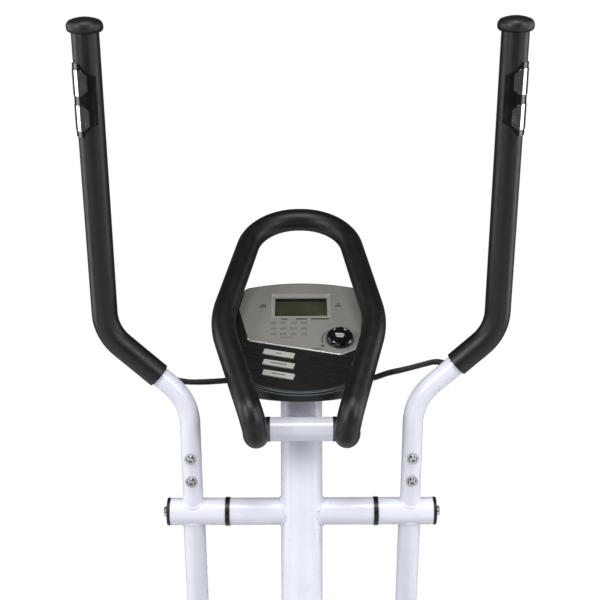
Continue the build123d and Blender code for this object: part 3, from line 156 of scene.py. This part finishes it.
def uneven_gloss(tree, shader, place, low, high, size_mm):
    """Roughness that wanders between two values, as handling leaves it."""
    wander = add(tree, "ShaderNodeTexNoise", {"Scale": 1 / (size_mm * MM), "Detail": 4.0},
                 {"Vector": (place, "Object")})
    span = add(tree, "ShaderNodeMapRange", {"From Min": 0.3, "From Max": 0.7, "To Min": low, "To Max": high},
               {"Value": (wander, "Fac")})
    tree.links.new(span.outputs["Result"], shader.inputs["Roughness"])


# ---- materials

def white_powder_coat():
    # Baked polyester powder on steel: cool white, smooth gloss with a faint orange peel.
    def build(tree, shader):
        place, _, _ = grain_bump(tree, shader, 2.2, 0.02, 0.35)
        tint(tree, shader, place, "dcdeea", "e1e3ee", 60)
        uneven_gloss(tree, shader, place, 0.26, 0.34, 25)
    return finish_material("white_powder_coat", {"Coat Weight": 0.4, "Coat Roughness": 0.12}, build)


def black_powder_coat():
    # Black powder on steel: semi-gloss with fine orange peel.
    def build(tree, shader):
        place, _, _ = grain_bump(tree, shader, 1.6, 0.03, 0.5)
        tint(tree, shader, place, "19191b", "1f1f21", 40)
        uneven_gloss(tree, shader, place, 0.36, 0.46, 20)
    return finish_material("black_powder_coat", {}, build)


def closed_cell_foam():
    # Nitrile foam sleeve: near black, matt with a broad soft highlight, fine closed pores.
    def build(tree, shader):
        place = add(tree, "ShaderNodeTexCoord")
        pores = add(tree, "ShaderNodeTexVoronoi", {"Scale": 1 / (0.9 * MM)}, {"Vector": (place, "Object")})
        skin = add(tree, "ShaderNodeTexNoise", {"Scale": 1 / (9 * MM), "Detail": 5.0},
                   {"Vector": (place, "Object")})
        both = add(tree, "ShaderNodeMath", {"operation": "MULTIPLY_ADD", 1: 0.55},
                   {0: (skin, "Fac"), 2: (pores, "Distance")})
        bump = add(tree, "ShaderNodeBump", {"Strength": 0.35, "Distance": 0.16 * MM},
                   {"Height": (both, "Value")})
        tree.links.new(bump.outputs["Normal"], shader.inputs["Normal"])
        tint(tree, shader, place, "090a0b", "0e0f10", 14)
        uneven_gloss(tree, shader, place, 0.36, 0.47, 18)
    return finish_material("closed_cell_foam", {"Specular IOR Level": 0.42}, build)


def moulded_black_plastic(name="textured_abs", grain=0.5, low=0.42, high=0.52):
    # Injection-moulded ABS with a spark-eroded texture: black, low sheen.
    def build(tree, shader):
        place, _, _ = grain_bump(tree, shader, grain, 0.03, 0.5)
        tint(tree, shader, place, "08080a", "0c0c0e", 50)
        uneven_gloss(tree, shader, place, low, high, 16)
    return finish_material(name, {}, build)


def glossy_black_plastic():
    # Polished moulded ABS: deep black with clear reflections.
    def build(tree, shader):
        place, _, _ = grain_bump(tree, shader, 6.0, 0.01, 0.2)
        uneven_gloss(tree, shader, place, 0.13, 0.22, 12)
    return finish_material("polished_abs", {"Base Color": srgb("08090a"), "Coat Weight": 0.3}, build)


def silver_lacquer():
    # Silver lacquer on ABS: warm grey with a fine metallic flake.
    def build(tree, shader):
        place, _, _ = grain_bump(tree, shader, 0.6, 0.015, 0.5)
        tint(tree, shader, place, "94928c", "9c9a94", 0.9)
        uneven_gloss(tree, shader, place, 0.34, 0.42, 20)
    return finish_material("silver_lacquer", {"Metallic": 0.35}, build)


def bright_silver():
    # Bright satin silver: painted highlight along the plate's lower edge and at the bezel's top corners, and
    # the bezel's bright ticks.
    def build(tree, shader):
        place, _, _ = grain_bump(tree, shader, 1.5, 0.01, 0.3)
        uneven_gloss(tree, shader, place, 0.16, 0.26, 10)
    return finish_material("bright_silver_highlight_and_ticks", {"Base Color": srgb("e6e6e6"), "Metallic": 0.5}, build)


def clear_bezel():
    # Clear bezel with a silvered back: pale grey and glossy.
    def build(tree, shader):
        place, _, _ = grain_bump(tree, shader, 2.5, 0.01, 0.2)
        tint(tree, shader, place, "8b8a87", "959491", 7)
        uneven_gloss(tree, shader, place, 0.2, 0.3, 12)
    return finish_material("clear_bezel", {}, build)


def polished_chrome():
    # Chromium plate: mirror finish with faint handling marks.
    def build(tree, shader):
        place, _, _ = grain_bump(tree, shader, 5.0, 0.01, 0.15)
        uneven_gloss(tree, shader, place, 0.05, 0.14, 9)
    return finish_material("polished_chrome", {"Base Color": srgb("d8d8d6"), "Metallic": 1.0}, build)


def zinc_plate():
    # Bright zinc on a cold-headed bolt: greyer than chrome, with light tool marks.
    def build(tree, shader):
        place, _, _ = grain_bump(tree, shader, 0.7, 0.02, 0.35)
        uneven_gloss(tree, shader, place, 0.16, 0.3, 4)
    return finish_material("bright_zinc", {"Base Color": srgb("c0c1c2"), "Metallic": 1.0}, build)


def ground_steel():
    # Ground bar: fine turning lines round the X axis.
    def build(tree, shader):
        place = add(tree, "ShaderNodeTexCoord")
        lines = add(tree, "ShaderNodeTexWave", {"Scale": 1 / (5 * MM), "Distortion": 1.5, "Detail": 2.0},
                    {"Vector": (place, "Object")})
        bump = add(tree, "ShaderNodeBump", {"Strength": 0.3, "Distance": 0.02 * MM},
                   {"Height": (lines, "Fac")})
        tree.links.new(bump.outputs["Normal"], shader.inputs["Normal"])
        uneven_gloss(tree, shader, place, 0.25, 0.38, 8)
    return finish_material("ground_steel", {"Base Color": srgb("8f9092"), "Metallic": 1.0}, build)


def turned_iron():
    # Cast iron with a turned rim: dark grey and slightly pitted.
    def build(tree, shader):
        place, _, _ = grain_bump(tree, shader, 1.8, 0.08, 0.6)
        tint(tree, shader, place, "3a3b3d", "4b4c4e", 22)
        uneven_gloss(tree, shader, place, 0.4, 0.6, 12)
    return finish_material("turned_cast_iron", {"Metallic": 0.8}, build)


def moulded_rubber(name="moulded_rubber", roughness=(0.5, 0.62)):
    # Black moulded rubber: soft sheen and a faint bloom.
    def build(tree, shader):
        place, _, _ = grain_bump(tree, shader, 0.8, 0.04, 0.5)
        tint(tree, shader, place, "121213", "1a1a1b", 18)
        uneven_gloss(tree, shader, place, roughness[0], roughness[1], 10)
    return finish_material(name, {}, build)


def nylon():
    # Natural black nylon: waxy, slightly glossier than ABS.
    def build(tree, shader):
        place, _, _ = grain_bump(tree, shader, 1.4, 0.02, 0.4)
        uneven_gloss(tree, shader, place, 0.3, 0.4, 12)
    return finish_material("black_nylon", {"Base Color": srgb("111112"), "IOR": 1.53}, build)


def key_plastic():
    # Light grey ABS keys with a satin face.
    def build(tree, shader):
        place, _, _ = grain_bump(tree, shader, 0.7, 0.02, 0.5)
        tint(tree, shader, place, "a6a59f", "afaea8", 12)
        uneven_gloss(tree, shader, place, 0.4, 0.5, 9)
    return finish_material("satin_grey_keys", {}, build)


def lcd_film():
    # Reflective liquid crystal film: olive, drifting slightly in tone.
    def build(tree, shader):
        place, _, _ = grain_bump(tree, shader, 0.5, 0.01, 0.2)
        tint(tree, shader, place, "4c4e30", "565838", 26)
        uneven_gloss(tree, shader, place, 0.4, 0.5, 14)
    return finish_material("liquid_crystal_film", {}, build)


def clear_acrylic():
    # Thin cast acrylic: clear and polished.
    def build(tree, shader):
        place, _, _ = grain_bump(tree, shader, 20, 0.01, 0.1)
        uneven_gloss(tree, shader, place, 0.04, 0.09, 16)
    settings = {"Base Color": srgb("f2f4f0"), "Transmission Weight": 1.0, "IOR": 1.49}
    return finish_material("clear_acrylic", settings, build)


def circuit_board():
    # Glass-epoxy board under green solder resist.
    def build(tree, shader):
        place, _, _ = grain_bump(tree, shader, 0.8, 0.02, 0.4)
        tint(tree, shader, place, "14401f", "1d5229", 7)
    return finish_material("solder_resist", {"Roughness": 0.4}, build)


def printed_ink(name, code):
    # Pad-printed ink: flat and slightly uneven.
    def build(tree, shader):
        place, _, _ = grain_bump(tree, shader, 0.4, 0.01, 0.4)
        uneven_gloss(tree, shader, place, 0.5, 0.62, 3)
    return finish_material(name, {"Base Color": srgb(code)}, build)


WHITE = white_powder_coat()
FOAM = closed_cell_foam()
ABS = moulded_black_plastic()
GLOSS = glossy_black_plastic()
SILVER = silver_lacquer()
# Bright silver for the painted highlights on the plate's edge and the bezel's corners, and for the bezel's
# ticks.
HIGHLIGHT_AND_TICK_SILVER = bright_silver()
CHROME = polished_chrome()
ZINC = zinc_plate()
STEEL = ground_steel()
RUBBER = moulded_rubber()
INK = printed_ink("dark_print", "1d1d1c")
FAINT_INK = printed_ink("grey_print", "5d5b56")
PALE_INK = printed_ink("pale_print", "c4c8cd")
SEGMENTS = printed_ink("segment_black", "3f4229")
# Pale grey-blue lines on the shell's lower rim are painted highlights on its glossy rounded edge.
RIM_HIGHLIGHT_INK = printed_ink("painted_rim_highlight", "5d646c")
SURROUND = clear_bezel()

BY_SLOT = {
    "white_paint": WHITE, "drive_paint": black_powder_coat(), "foam": FOAM, "black_plastic": ABS,
    "bush_nylon": nylon(), "silver_plastic": SILVER, "light_keys": key_plastic(), "knob_plastic": GLOSS,
    "lens": clear_acrylic(), "lcd": lcd_film(), "board": circuit_board(), "chrome": CHROME,
    "bolt_steel": ZINC, "steel": STEEL, "iron": turned_iron(), "rubber": RUBBER,
    "tyre": moulded_rubber("hard_tread_rubber", (0.6, 0.75)), "pulley_plastic": nylon(),
}


def dress_frame():
    """Every CAD node takes the finish of its material slot."""
    for part in frame["record"]["subparts"]:
        material = BY_SLOT[part["material_slot"]]
        mesh = nodes[part["node"]].data
        mesh.materials.clear()
        mesh.materials.append(GLOSS if part["node"].endswith("pulse_housing") else material)


dress_frame()


# ---- mesh helpers

def keep(bm, name, material, body, smooth=True):
    """Turns a bmesh into a piece that rides on a body, or on none yet where body is None."""
    bmesh.ops.recalc_face_normals(bm, faces=bm.faces)
    mesh = bpy.data.meshes.new(name)
    bm.to_mesh(mesh)
    bm.free()
    for polygon in mesh.polygons:
        polygon.use_smooth = smooth
    mesh.materials.append(material)
    piece = bpy.data.objects.new(name, mesh)
    bpy.context.collection.objects.link(piece)
    if body:
        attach(piece, body)
    return piece


def basis(origin, x_dir, y_dir):
    """The matrix that lays local x and y along two directions at a point."""
    x_axis = Vector(x_dir).normalized()
    z_axis = x_axis.cross(Vector(y_dir)).normalized()
    y_axis = z_axis.cross(x_axis)
    matrix = Matrix((x_axis, y_axis, z_axis)).transposed().to_4x4()
    matrix.translation = origin
    return matrix


FACE = basis(CONSOLE_ORIGIN, (1, 0, 0), CONSOLE_UP)
KEY_SLOPE = math.radians(-13.5)


def face_point(x_mm, l_mm, out_mm=0.0):
    return FACE @ Vector((x_mm * MM, l_mm * MM, out_mm * MM))


def smooth_line(points, order=3):
    """The points of a NURBS line that those points control."""
    curve = bpy.data.curves.new("route", "CURVE")
    curve.dimensions = "3D"
    spline = curve.splines.new("NURBS")
    spline.points.add(len(points) - 1)
    for target, point in zip(spline.points, points):
        target.co = (*point, 1)
    spline.order_u = order
    spline.use_endpoint_u = True
    spline.resolution_u = 24
    holder = bpy.data.objects.new("route", curve)
    bpy.context.collection.objects.link(holder)
    mesh = bpy.data.meshes.new_from_object(holder)
    line = [vertex.co.copy() for vertex in mesh.vertices]
    bpy.data.objects.remove(holder)
    bpy.data.curves.remove(curve)
    bpy.data.meshes.remove(mesh)
    return line


def walk(line, step):
    """Points along a line at even steps, with the direction at each."""
    lengths = [0.0]
    for before, after in zip(line, line[1:]):
        lengths.append(lengths[-1] + (after - before).length)
    count = max(2, round(lengths[-1] / step))
    places = []
    index = 0
    for number in range(count + 1):
        target = lengths[-1] * number / count
        while index < len(line) - 2 and lengths[index + 1] < target:
            index += 1
        part = (target - lengths[index]) / max(lengths[index + 1] - lengths[index], 1e-9)
        place = line[index].lerp(line[index + 1], min(part, 1.0))
        places.append((place, (line[index + 1] - line[index]).normalized()))
    return places


def tube_along(places, radius_at, sides=14, closed=False):
    """A tube swept by extruding one ring along the places; radius_at(number) is its radius there."""
    bm = bmesh.new()
    up = Vector((0, 0, 1))
    for number, (place, along) in enumerate(places):
        if number == 0:
            made = bmesh.ops.create_circle(bm, cap_ends=False, segments=sides, radius=1.0)
            ring = made["verts"]
        else:
            made = bmesh.ops.extrude_edge_only(bm, edges=ring_edges)
            ring = [item for item in made["geom"] if isinstance(item, bmesh.types.BMVert)]
            bmesh.ops.transform(bm, matrix=frame_before.inverted(), verts=ring)
        across = along.cross(up)
        if across.length < 0.2:
            across = along.cross(Vector((1, 0, 0)))
        across.normalize()
        matrix = basis(place, across, along.cross(across)) @ Matrix.Scale(radius_at(number), 4)
        bmesh.ops.transform(bm, matrix=matrix, verts=ring)
        frame_before = matrix
        members = set(ring)
        ring_edges = [edge for edge in bm.edges if edge.verts[0] in members and edge.verts[1] in members]
    if closed:
        first = [edge for edge in bm.edges if edge.is_boundary]
        bmesh.ops.bridge_loops(bm, edges=first)
    else:
        bmesh.ops.holes_fill(bm, edges=[edge for edge in bm.edges if edge.is_boundary], sides=0)
    return bm


def box_on_face(bm, x_mm, l_mm, width, height, out, thick, turn=0.0):
    """A thin slab laid on the console's face, its lower side at out."""
    made = bmesh.ops.create_cube(bm, size=1.0)
    place = Matrix.Translation((x_mm * MM, l_mm * MM, (out + thick / 2) * MM))
    scale = Matrix.Diagonal((width * MM, height * MM, thick * MM, 1))
    bmesh.ops.transform(bm, matrix=FACE @ place @ Matrix.Rotation(turn, 4, "Z") @ scale, verts=made["verts"])
    return made["verts"]


# ---- sensor cable sleeves

SLEEVE_OD = 8.5
SLEEVE_PITCH = 2.4
SLEEVE_GROOVE = 0.75
# Each route's own points: x, forward of the axle, above it, in millimetres.
SLEEVE_ROUTES = {
    "left": ((-74.0, -11.249, 191.7), (-100.0, -11.249, 191.7), (-120.0, -24.0, 191.0),
             (-142.0, -40.0, 191.0), (-168.0, -47.0, 192.0), (-190.0, -63.979, 199.171)),
    "right": ((74.0, -11.249, 191.7), (100.0, -11.249, 191.7), (122.0, -25.0, 202.0), (146.0, -41.0, 208.0),
              (174.0, -46.0, 216.0), (194.0, -48.0, 221.0), (208.0, -69.77, 215.081)),
}


def sleeve(side):
    """A black split-corrugated sleeve from inside the console to the hole in the arm."""
    points = [PIVOT + Vector(point) * MM for point in SLEEVE_ROUTES[side]]
    line = smooth_line(points)
    places = walk(line, SLEEVE_PITCH * MM / 4)
    crest = SLEEVE_OD / 2 * MM
    root = crest - SLEEVE_GROOVE * MM
    steps = (crest, crest, root, root)
    bm = tube_along(places, lambda number: steps[number % 4], sides=16)
    piece = keep(bm, f"{side}_cable_sleeve", RUBBER, None)
    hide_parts(f"{side}_sensor_cable")
    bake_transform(piece)


# ---- weld beads

BEAD_POINTS = 96
BEAD_RIPPLE = 0.28
BEAD_RIPPLE_TURN = 2.1

def saddle_bead(name, centre, thick_dir, thin_dir, thick_r, thin_r, body, bead=1.9):
    """A rippled weld bead where a thin tube runs into the side of a thicker one."""
    side_dir = Vector(thick_dir).cross(Vector(thin_dir)).normalized()
    line = []
    for number in range(BEAD_POINTS):
        angle = 2 * math.pi * number / BEAD_POINTS
        across = thin_r * math.cos(angle)
        sideways = thin_r * math.sin(angle)
        reach = math.sqrt(max(thick_r ** 2 - sideways ** 2, 0.0))
        offset = Vector(thick_dir) * across + side_dir * sideways + Vector(thin_dir) * reach
        line.append(centre + offset * MM)
    places = []
    for number in range(BEAD_POINTS):
        along = (line[(number + 1) % BEAD_POINTS] - line[number - 1]).normalized()
        places.append((line[number], along))

    def radius_at(number):
        return (bead + BEAD_RIPPLE * math.sin(number * BEAD_RIPPLE_TURN)) * MM
    bm = tube_along(places, radius_at, sides=8, closed=True)
    return keep(bm, name, WHITE, body)


def weld_beads():
    mast_dir = Vector((0, -math.sin(MAST_LEAN), math.cos(MAST_LEAN)))
    for word, sign in (("left", -1), ("right", 1)):
        out = Vector((sign, 0, 0))
        saddle_bead(f"mast_weld_{word}", PIVOT, mast_dir, out, MAST_R, HUB_R, "root", bead=2.4)
        hub = PIVOT + out * ARM_X
        up = Vector((0, -math.sin(ARM_TILT), math.cos(ARM_TILT)))
        saddle_bead(f"stub_weld_{word}", hub, Vector((1, 0, 0)), up, HUB_R, STUB_R, f"{word}_arm")
        down = Vector((0, math.sin(LOWER_LEAN), -math.cos(LOWER_LEAN)))
        saddle_bead(f"tube_weld_{word}", hub, Vector((1, 0, 0)), down, HUB_R, LOWER_R, f"{word}_arm")


# ---- what is printed and fitted on the console

def console_print():
    """Generic marks on the silver plate: bars in place of words, and small programme profiles."""
    ink = bmesh.new()
    for x, l, width in ((-57, 196, 7), (-58, 191.5, 10), (57, 198, 4), (57, 193, 10.5)):
        box_on_face(ink, x, l, width, 2.4, PLATE_FACE, INK_THICK)
    for x, width in ((-25, 9), (0.3, 16), (28.4, 27)):
        box_on_face(ink, x, 162, width, 2.6, PLATE_FACE, INK_THICK)
    keep(ink, "print_labels", INK, "root", smooth=False)
    faint = bmesh.new()
    heights = ((2, 3, 4, 3, 2), (1, 4, 2, 4, 1), (1, 3, 2, 3, 4), (4, 3, 2, 3, 4))
    for column, x in enumerate((-41.2, -26.5, -11.3, 4.4)):
        for row, l in enumerate((152, 139, 126)):
            pattern = heights[(column + row) % 4]
            for number, height in enumerate(pattern):
                bar_x = x + (number - 2) * 2.0
                box_on_face(faint, bar_x, l + height * 0.45, 1.3, height * 1.1, PLATE_FACE, INK_THICK)
            box_on_face(faint, x, l - 1.4, 10.5, 0.6, PLATE_FACE, INK_THICK)
    box_on_face(faint, -20.6, 119, 20, 1.4, PLATE_FACE, INK_THICK)
    keep(faint, "print_profiles", FAINT_INK, "root", smooth=False)


def dial_scale():
    """A thin arc with an arrow round the dial's upper left, and three ticks above it."""
    bm = bmesh.new()
    radius = 26.0
    count = 26
    for number in range(count):
        angle = math.radians(88 + number * 4.2)
        x = DIAL_X + radius * math.cos(angle)
        l = DIAL_L + radius * math.sin(angle)
        width = 0.5 + 0.9 * number / count
        box_on_face(bm, x, l, 2.1, width, PLATE_FACE, INK_THICK, turn=angle + math.pi / 2)
    for l, width in ((99.0, 4.6), (97.2, 3.0), (95.6, 1.4)):
        box_on_face(bm, 31.4, l + 2, width, 1.9, PLATE_FACE, INK_THICK)
    box_on_face(bm, 24, 93, 12, 1.6, PLATE_FACE, INK_THICK)
    for x, l in ((60, 143), (70, 140.5)):
        box_on_face(bm, x, l, 2.6, 1.3, PLATE_FACE, INK_THICK)
    keep(bm, "dial_scale", INK, "root", smooth=False)


def lcd_surround():
    """The clear bezel's silvered ring round the display, higher along its top edge, with painted highlights
    at its top corners, a row of bright ticks, and a dark strip inside the display's top and sides as painted
    shadow.
    """
    bm = bmesh.new()
    bars = ((0, 218.4, 92, 8.0, SURROUND_THICK), (-43.1, 190.6, 5.6, 47.4, 0.6),
            (43.1, 190.6, 5.6, 47.4, 0.6), (0, 166.2, 92, 2.4, 0.6))
    for x, l, width, height, thick in bars:
        verts = box_on_face(bm, x, l, width, height, PLATE_FACE, thick)
        edges = {edge for vert in verts for edge in vert.link_edges}
        bmesh.ops.bevel(bm, geom=list(edges), offset=0.4 * MM, offset_type="OFFSET", segments=2, profile=0.5,
                        affect="EDGES", material=-1)
    keep(bm, "display_surround", SURROUND, "root", smooth=False)
    # Two bright bosses at the bezel's top corners are painted highlights; a row of bright ticks runs along
    # its top bar.
    highlight_and_ticks = bmesh.new()
    for x in (-42.0, 42.0):
        box_on_face(highlight_and_ticks, x, 220.2, 4.6, 3.0, PLATE_FACE + SURROUND_THICK, 0.3)
    for number in range(27):
        box_on_face(highlight_and_ticks, -36.4 + number * 2.8, 220.4, 1.0, 1.4, PLATE_FACE + SURROUND_THICK, 0.1)
    keep(highlight_and_ticks, "display_corner_highlights_and_ticks", HIGHLIGHT_AND_TICK_SILVER, "root", smooth=False)
    # A dark strip inside the display opening's top and sides: painted shadow of the recess.
    dark = bmesh.new()
    box_on_face(dark, 0, 210.6, 78.2, 3.2, SHADOW_STRIP_LEVEL, 0.2)
    box_on_face(dark, -38.8, 190.7, 0.9, 43, SHADOW_STRIP_LEVEL, 0.2)
    box_on_face(dark, 38.8, 190.7, 0.9, 43, SHADOW_STRIP_LEVEL, 0.2)
    keep(dark, "display_painted_shadow", GLOSS, "root", smooth=False)


def lcd_segments():
    """The display at rest: faint cells, and seven-bar figures with every bar showing."""
    bm = bmesh.new()
    for column in range(16):
        for row in range(8):
            if row > 1 + (column * 5) % 3:
                continue
            box_on_face(bm, -20 + column * 2.7, 176 + row * 2.5, 2.1, 1.9, LCD_LEVEL, 0.05)
    for x in (-34, -28.5, 30.0, 35.5):
        for l in (196.5, 202.5, 208.5):
            box_on_face(bm, x, l, 3.2, 0.7, LCD_LEVEL, 0.05)
        for side in (-1.9, 1.9):
            for l in (199.5, 205.5):
                box_on_face(bm, x + side, l, 0.7, 4.6, LCD_LEVEL, 0.05)
    keep(bm, "display_segments", SEGMENTS, "root", smooth=False)


def key_marks():
    """A short printed bar on each key in place of its word."""
    for name, l, width in (("start", 82.4, 9), ("mode", 60.0, 24), ("stop", 37.6, 20)):
        bm = bmesh.new()
        box_on_face(bm, -32.3, l, width, 2.2, 1.6, KEY_INK_THICK, turn=KEY_SLOPE)
        keep(bm, f"{name}_mark", FAINT_INK, f"{name}_key", smooth=False)


def rounded_outline(corners, radius, steps=7):
    """A closed outline through the corners, each rounded by an arc."""
    line = []
    count = len(corners)
    for number, corner in enumerate(corners):
        here = Vector(corner)
        before = (Vector(corners[number - 1]) - here).normalized()
        after = (Vector(corners[(number + 1) % count]) - here).normalized()
        half = before.angle(after) / 2
        reach = radius / math.tan(half)
        centre = here + (before + after).normalized() * radius / math.sin(half)
        start = (here + before * reach - centre).normalized()
        end = (here + after * reach - centre).normalized()
        for step in range(steps + 1):
            line.append(centre + start.slerp(end, step / steps) * radius)
    return line


def plate_trim():
    """The raised edge along the silver plate's lower side and its corner by the dial, made bright as painted
    highlight on its rounded rim.
    """
    corners = [(-86, 236), (-94, 186), (-77, 112), (58, 80), (84, 96), (94, 186), (86, 236)]
    steps = 7
    outline = rounded_outline([(x, l, 0.0) for x, l in corners], 9.0, steps)
    lower_side = outline[2 * (steps + 1):5 * (steps + 1)]
    places = walk([face_point(point.x, point.y, 0.35) for point in lower_side], 1.5 * MM)
    bm = tube_along(places, lambda number: 1.05 * MM, sides=10)
    # The tube's brightness is painted highlight along the plate's rounded edge.
    keep(bm, "plate_edge", HIGHLIGHT_AND_TICK_SILVER, "root")


def rim_highlights():
    """Two pale lines round the lower rim of the front shell: painted highlights on its glossy rounded edge.
    """
    for number, (depth, inset) in enumerate(((1.3, 1.2), (4.8, 0.0))):
        points = []
        for step in range(-10, 11):
            part = step / 10
            x = 79.0 * part
            l = 23.0 * part * part - 0.25 + inset
            points.append(face_point(x, l, -depth))
        points.insert(0, face_point(inset - 93.5, 66.0, -depth))
        points.append(face_point(93.5 - inset, 66.0, -depth))
        places = walk(smooth_line(points), 2 * MM)
        bm = tube_along(places, lambda number: 0.55 * MM, sides=8)
        keep(bm, f"rim_highlight_{number + 1}", RIM_HIGHLIGHT_INK, "root")


def dial_face():
    """The dial's glossy push disc, and the three pale bars printed on it."""
    bm = bmesh.new()
    bmesh.ops.create_circle(bm, cap_ends=True, segments=48, radius=DIAL_DISC_R * MM)
    made = bmesh.ops.extrude_face_region(bm, geom=bm.faces[:])
    top = [item for item in made["geom"] if isinstance(item, bmesh.types.BMVert)]
    bmesh.ops.translate(bm, vec=(0, 0, 0.25 * MM), verts=top)
    centre = Matrix.Translation((DIAL_X * MM, DIAL_L * MM, DIAL_DISC_LEVEL * MM))
    bmesh.ops.transform(bm, matrix=FACE @ centre, verts=bm.verts)
    keep(bm, "dial_disc", GLOSS, "dial", smooth=False)
    bm = bmesh.new()
    for l, width in ((116.5, 13), (113.2, 13), (109.9, 10)):
        box_on_face(bm, DIAL_X, l, width, 2.0, DIAL_MARK_LEVEL, KEY_INK_THICK, turn=math.radians(-8))
    keep(bm, "dial_mark", PALE_INK, "dial", smooth=False)


for word in ("left", "right"):
    sleeve(word)
weld_beads()
console_print()
dial_scale()
lcd_surround()
lcd_segments()
key_marks()
plate_trim()
rim_highlights()
dial_face()


# ---- floor, light and camera

def studio():
    bm = bmesh.new()
    bmesh.ops.create_grid(bm, x_segments=1, y_segments=1, size=2.0)
    bmesh.ops.translate(bm, vec=(0, 0, -0.0005), verts=bm.verts)
    mesh = bpy.data.meshes.new("floor")
    bm.to_mesh(mesh)
    bm.free()
    floor = bpy.data.objects.new("floor", mesh)
    bpy.context.collection.objects.link(floor)
    pale = finish_material("pale_floor", {"Base Color": srgb("f4f4f4"), "Roughness": 0.6})
    mesh.materials.append(pale)


def area_light(name, place, target, size, power, size_y=None):
    light = bpy.data.lights.new(name, "AREA")
    light.energy = power
    light.size = size
    if size_y:
        light.shape = "RECTANGLE"
        light.size_y = size_y
    lamp = bpy.data.objects.new(name, light)
    bpy.context.collection.objects.link(lamp)
    lamp.location = place
    lamp.rotation_euler = (Vector(target) - Vector(place)).to_track_quat("-Z", "Y").to_euler()
    return lamp


def lights():
    """A room that looks white but is dim, soft boxes before and beside the object, and one overhead."""
    world = bpy.data.worlds.new("studio_air")
    bpy.context.scene.world = world
    world.use_nodes = True
    tree = world.node_tree
    tree.nodes.clear()
    rays = add(tree, "ShaderNodeLightPath")
    room = add(tree, "ShaderNodeBackground", {"Color": srgb("eef0f6"), "Strength": ROOM_LIGHT})
    white = add(tree, "ShaderNodeBackground", {"Color": srgb("ffffff"), "Strength": 1.0})
    seen = add(tree, "ShaderNodeMixShader", {}, {0: (rays, "Is Camera Ray"), 1: (room, 0), 2: (white, 0)})
    add(tree, "ShaderNodeOutputWorld", {}, {"Surface": (seen, 0)})
    area_light("key_left", (-2.0, -2.0, 1.9), (0, 0.2, 1.2), 0.7, KEY_LIGHT, 2.2)
    area_light("key_right", (2.1, -1.8, 1.9), (0, 0.2, 1.2), 0.6, KEY_LIGHT * 0.75, 2.2)
    area_light("top", (0, -1.3, 3.0), (0, 0.2, 1.1), 1.0, KEY_LIGHT * 0.5)
    area_light("side_left", (-2.3, 0.25, 1.35), (0, 0.2, 1.2), 1.1, KEY_LIGHT * 0.5, 2.4)
    area_light("side_right", (2.3, 0.25, 1.35), (0, 0.2, 1.2), 1.1, KEY_LIGHT * 0.5, 2.4)


def camera():
    data = bpy.data.cameras.new("camera")
    data.sensor_width = SENSOR_WIDTH
    data.lens = LENS
    eye = bpy.data.objects.new("camera", data)
    bpy.context.collection.objects.link(eye)
    eye.location = PIVOT + Vector(EYE) * MM
    eye.rotation_euler = (math.radians(90), math.radians(0.2), 0)
    data.clip_end = 50
    bpy.context.scene.camera = eye


studio()
lights()
camera()
bpy.context.scene.view_settings.view_transform = "Standard"

bpy.context.view_layer.update()
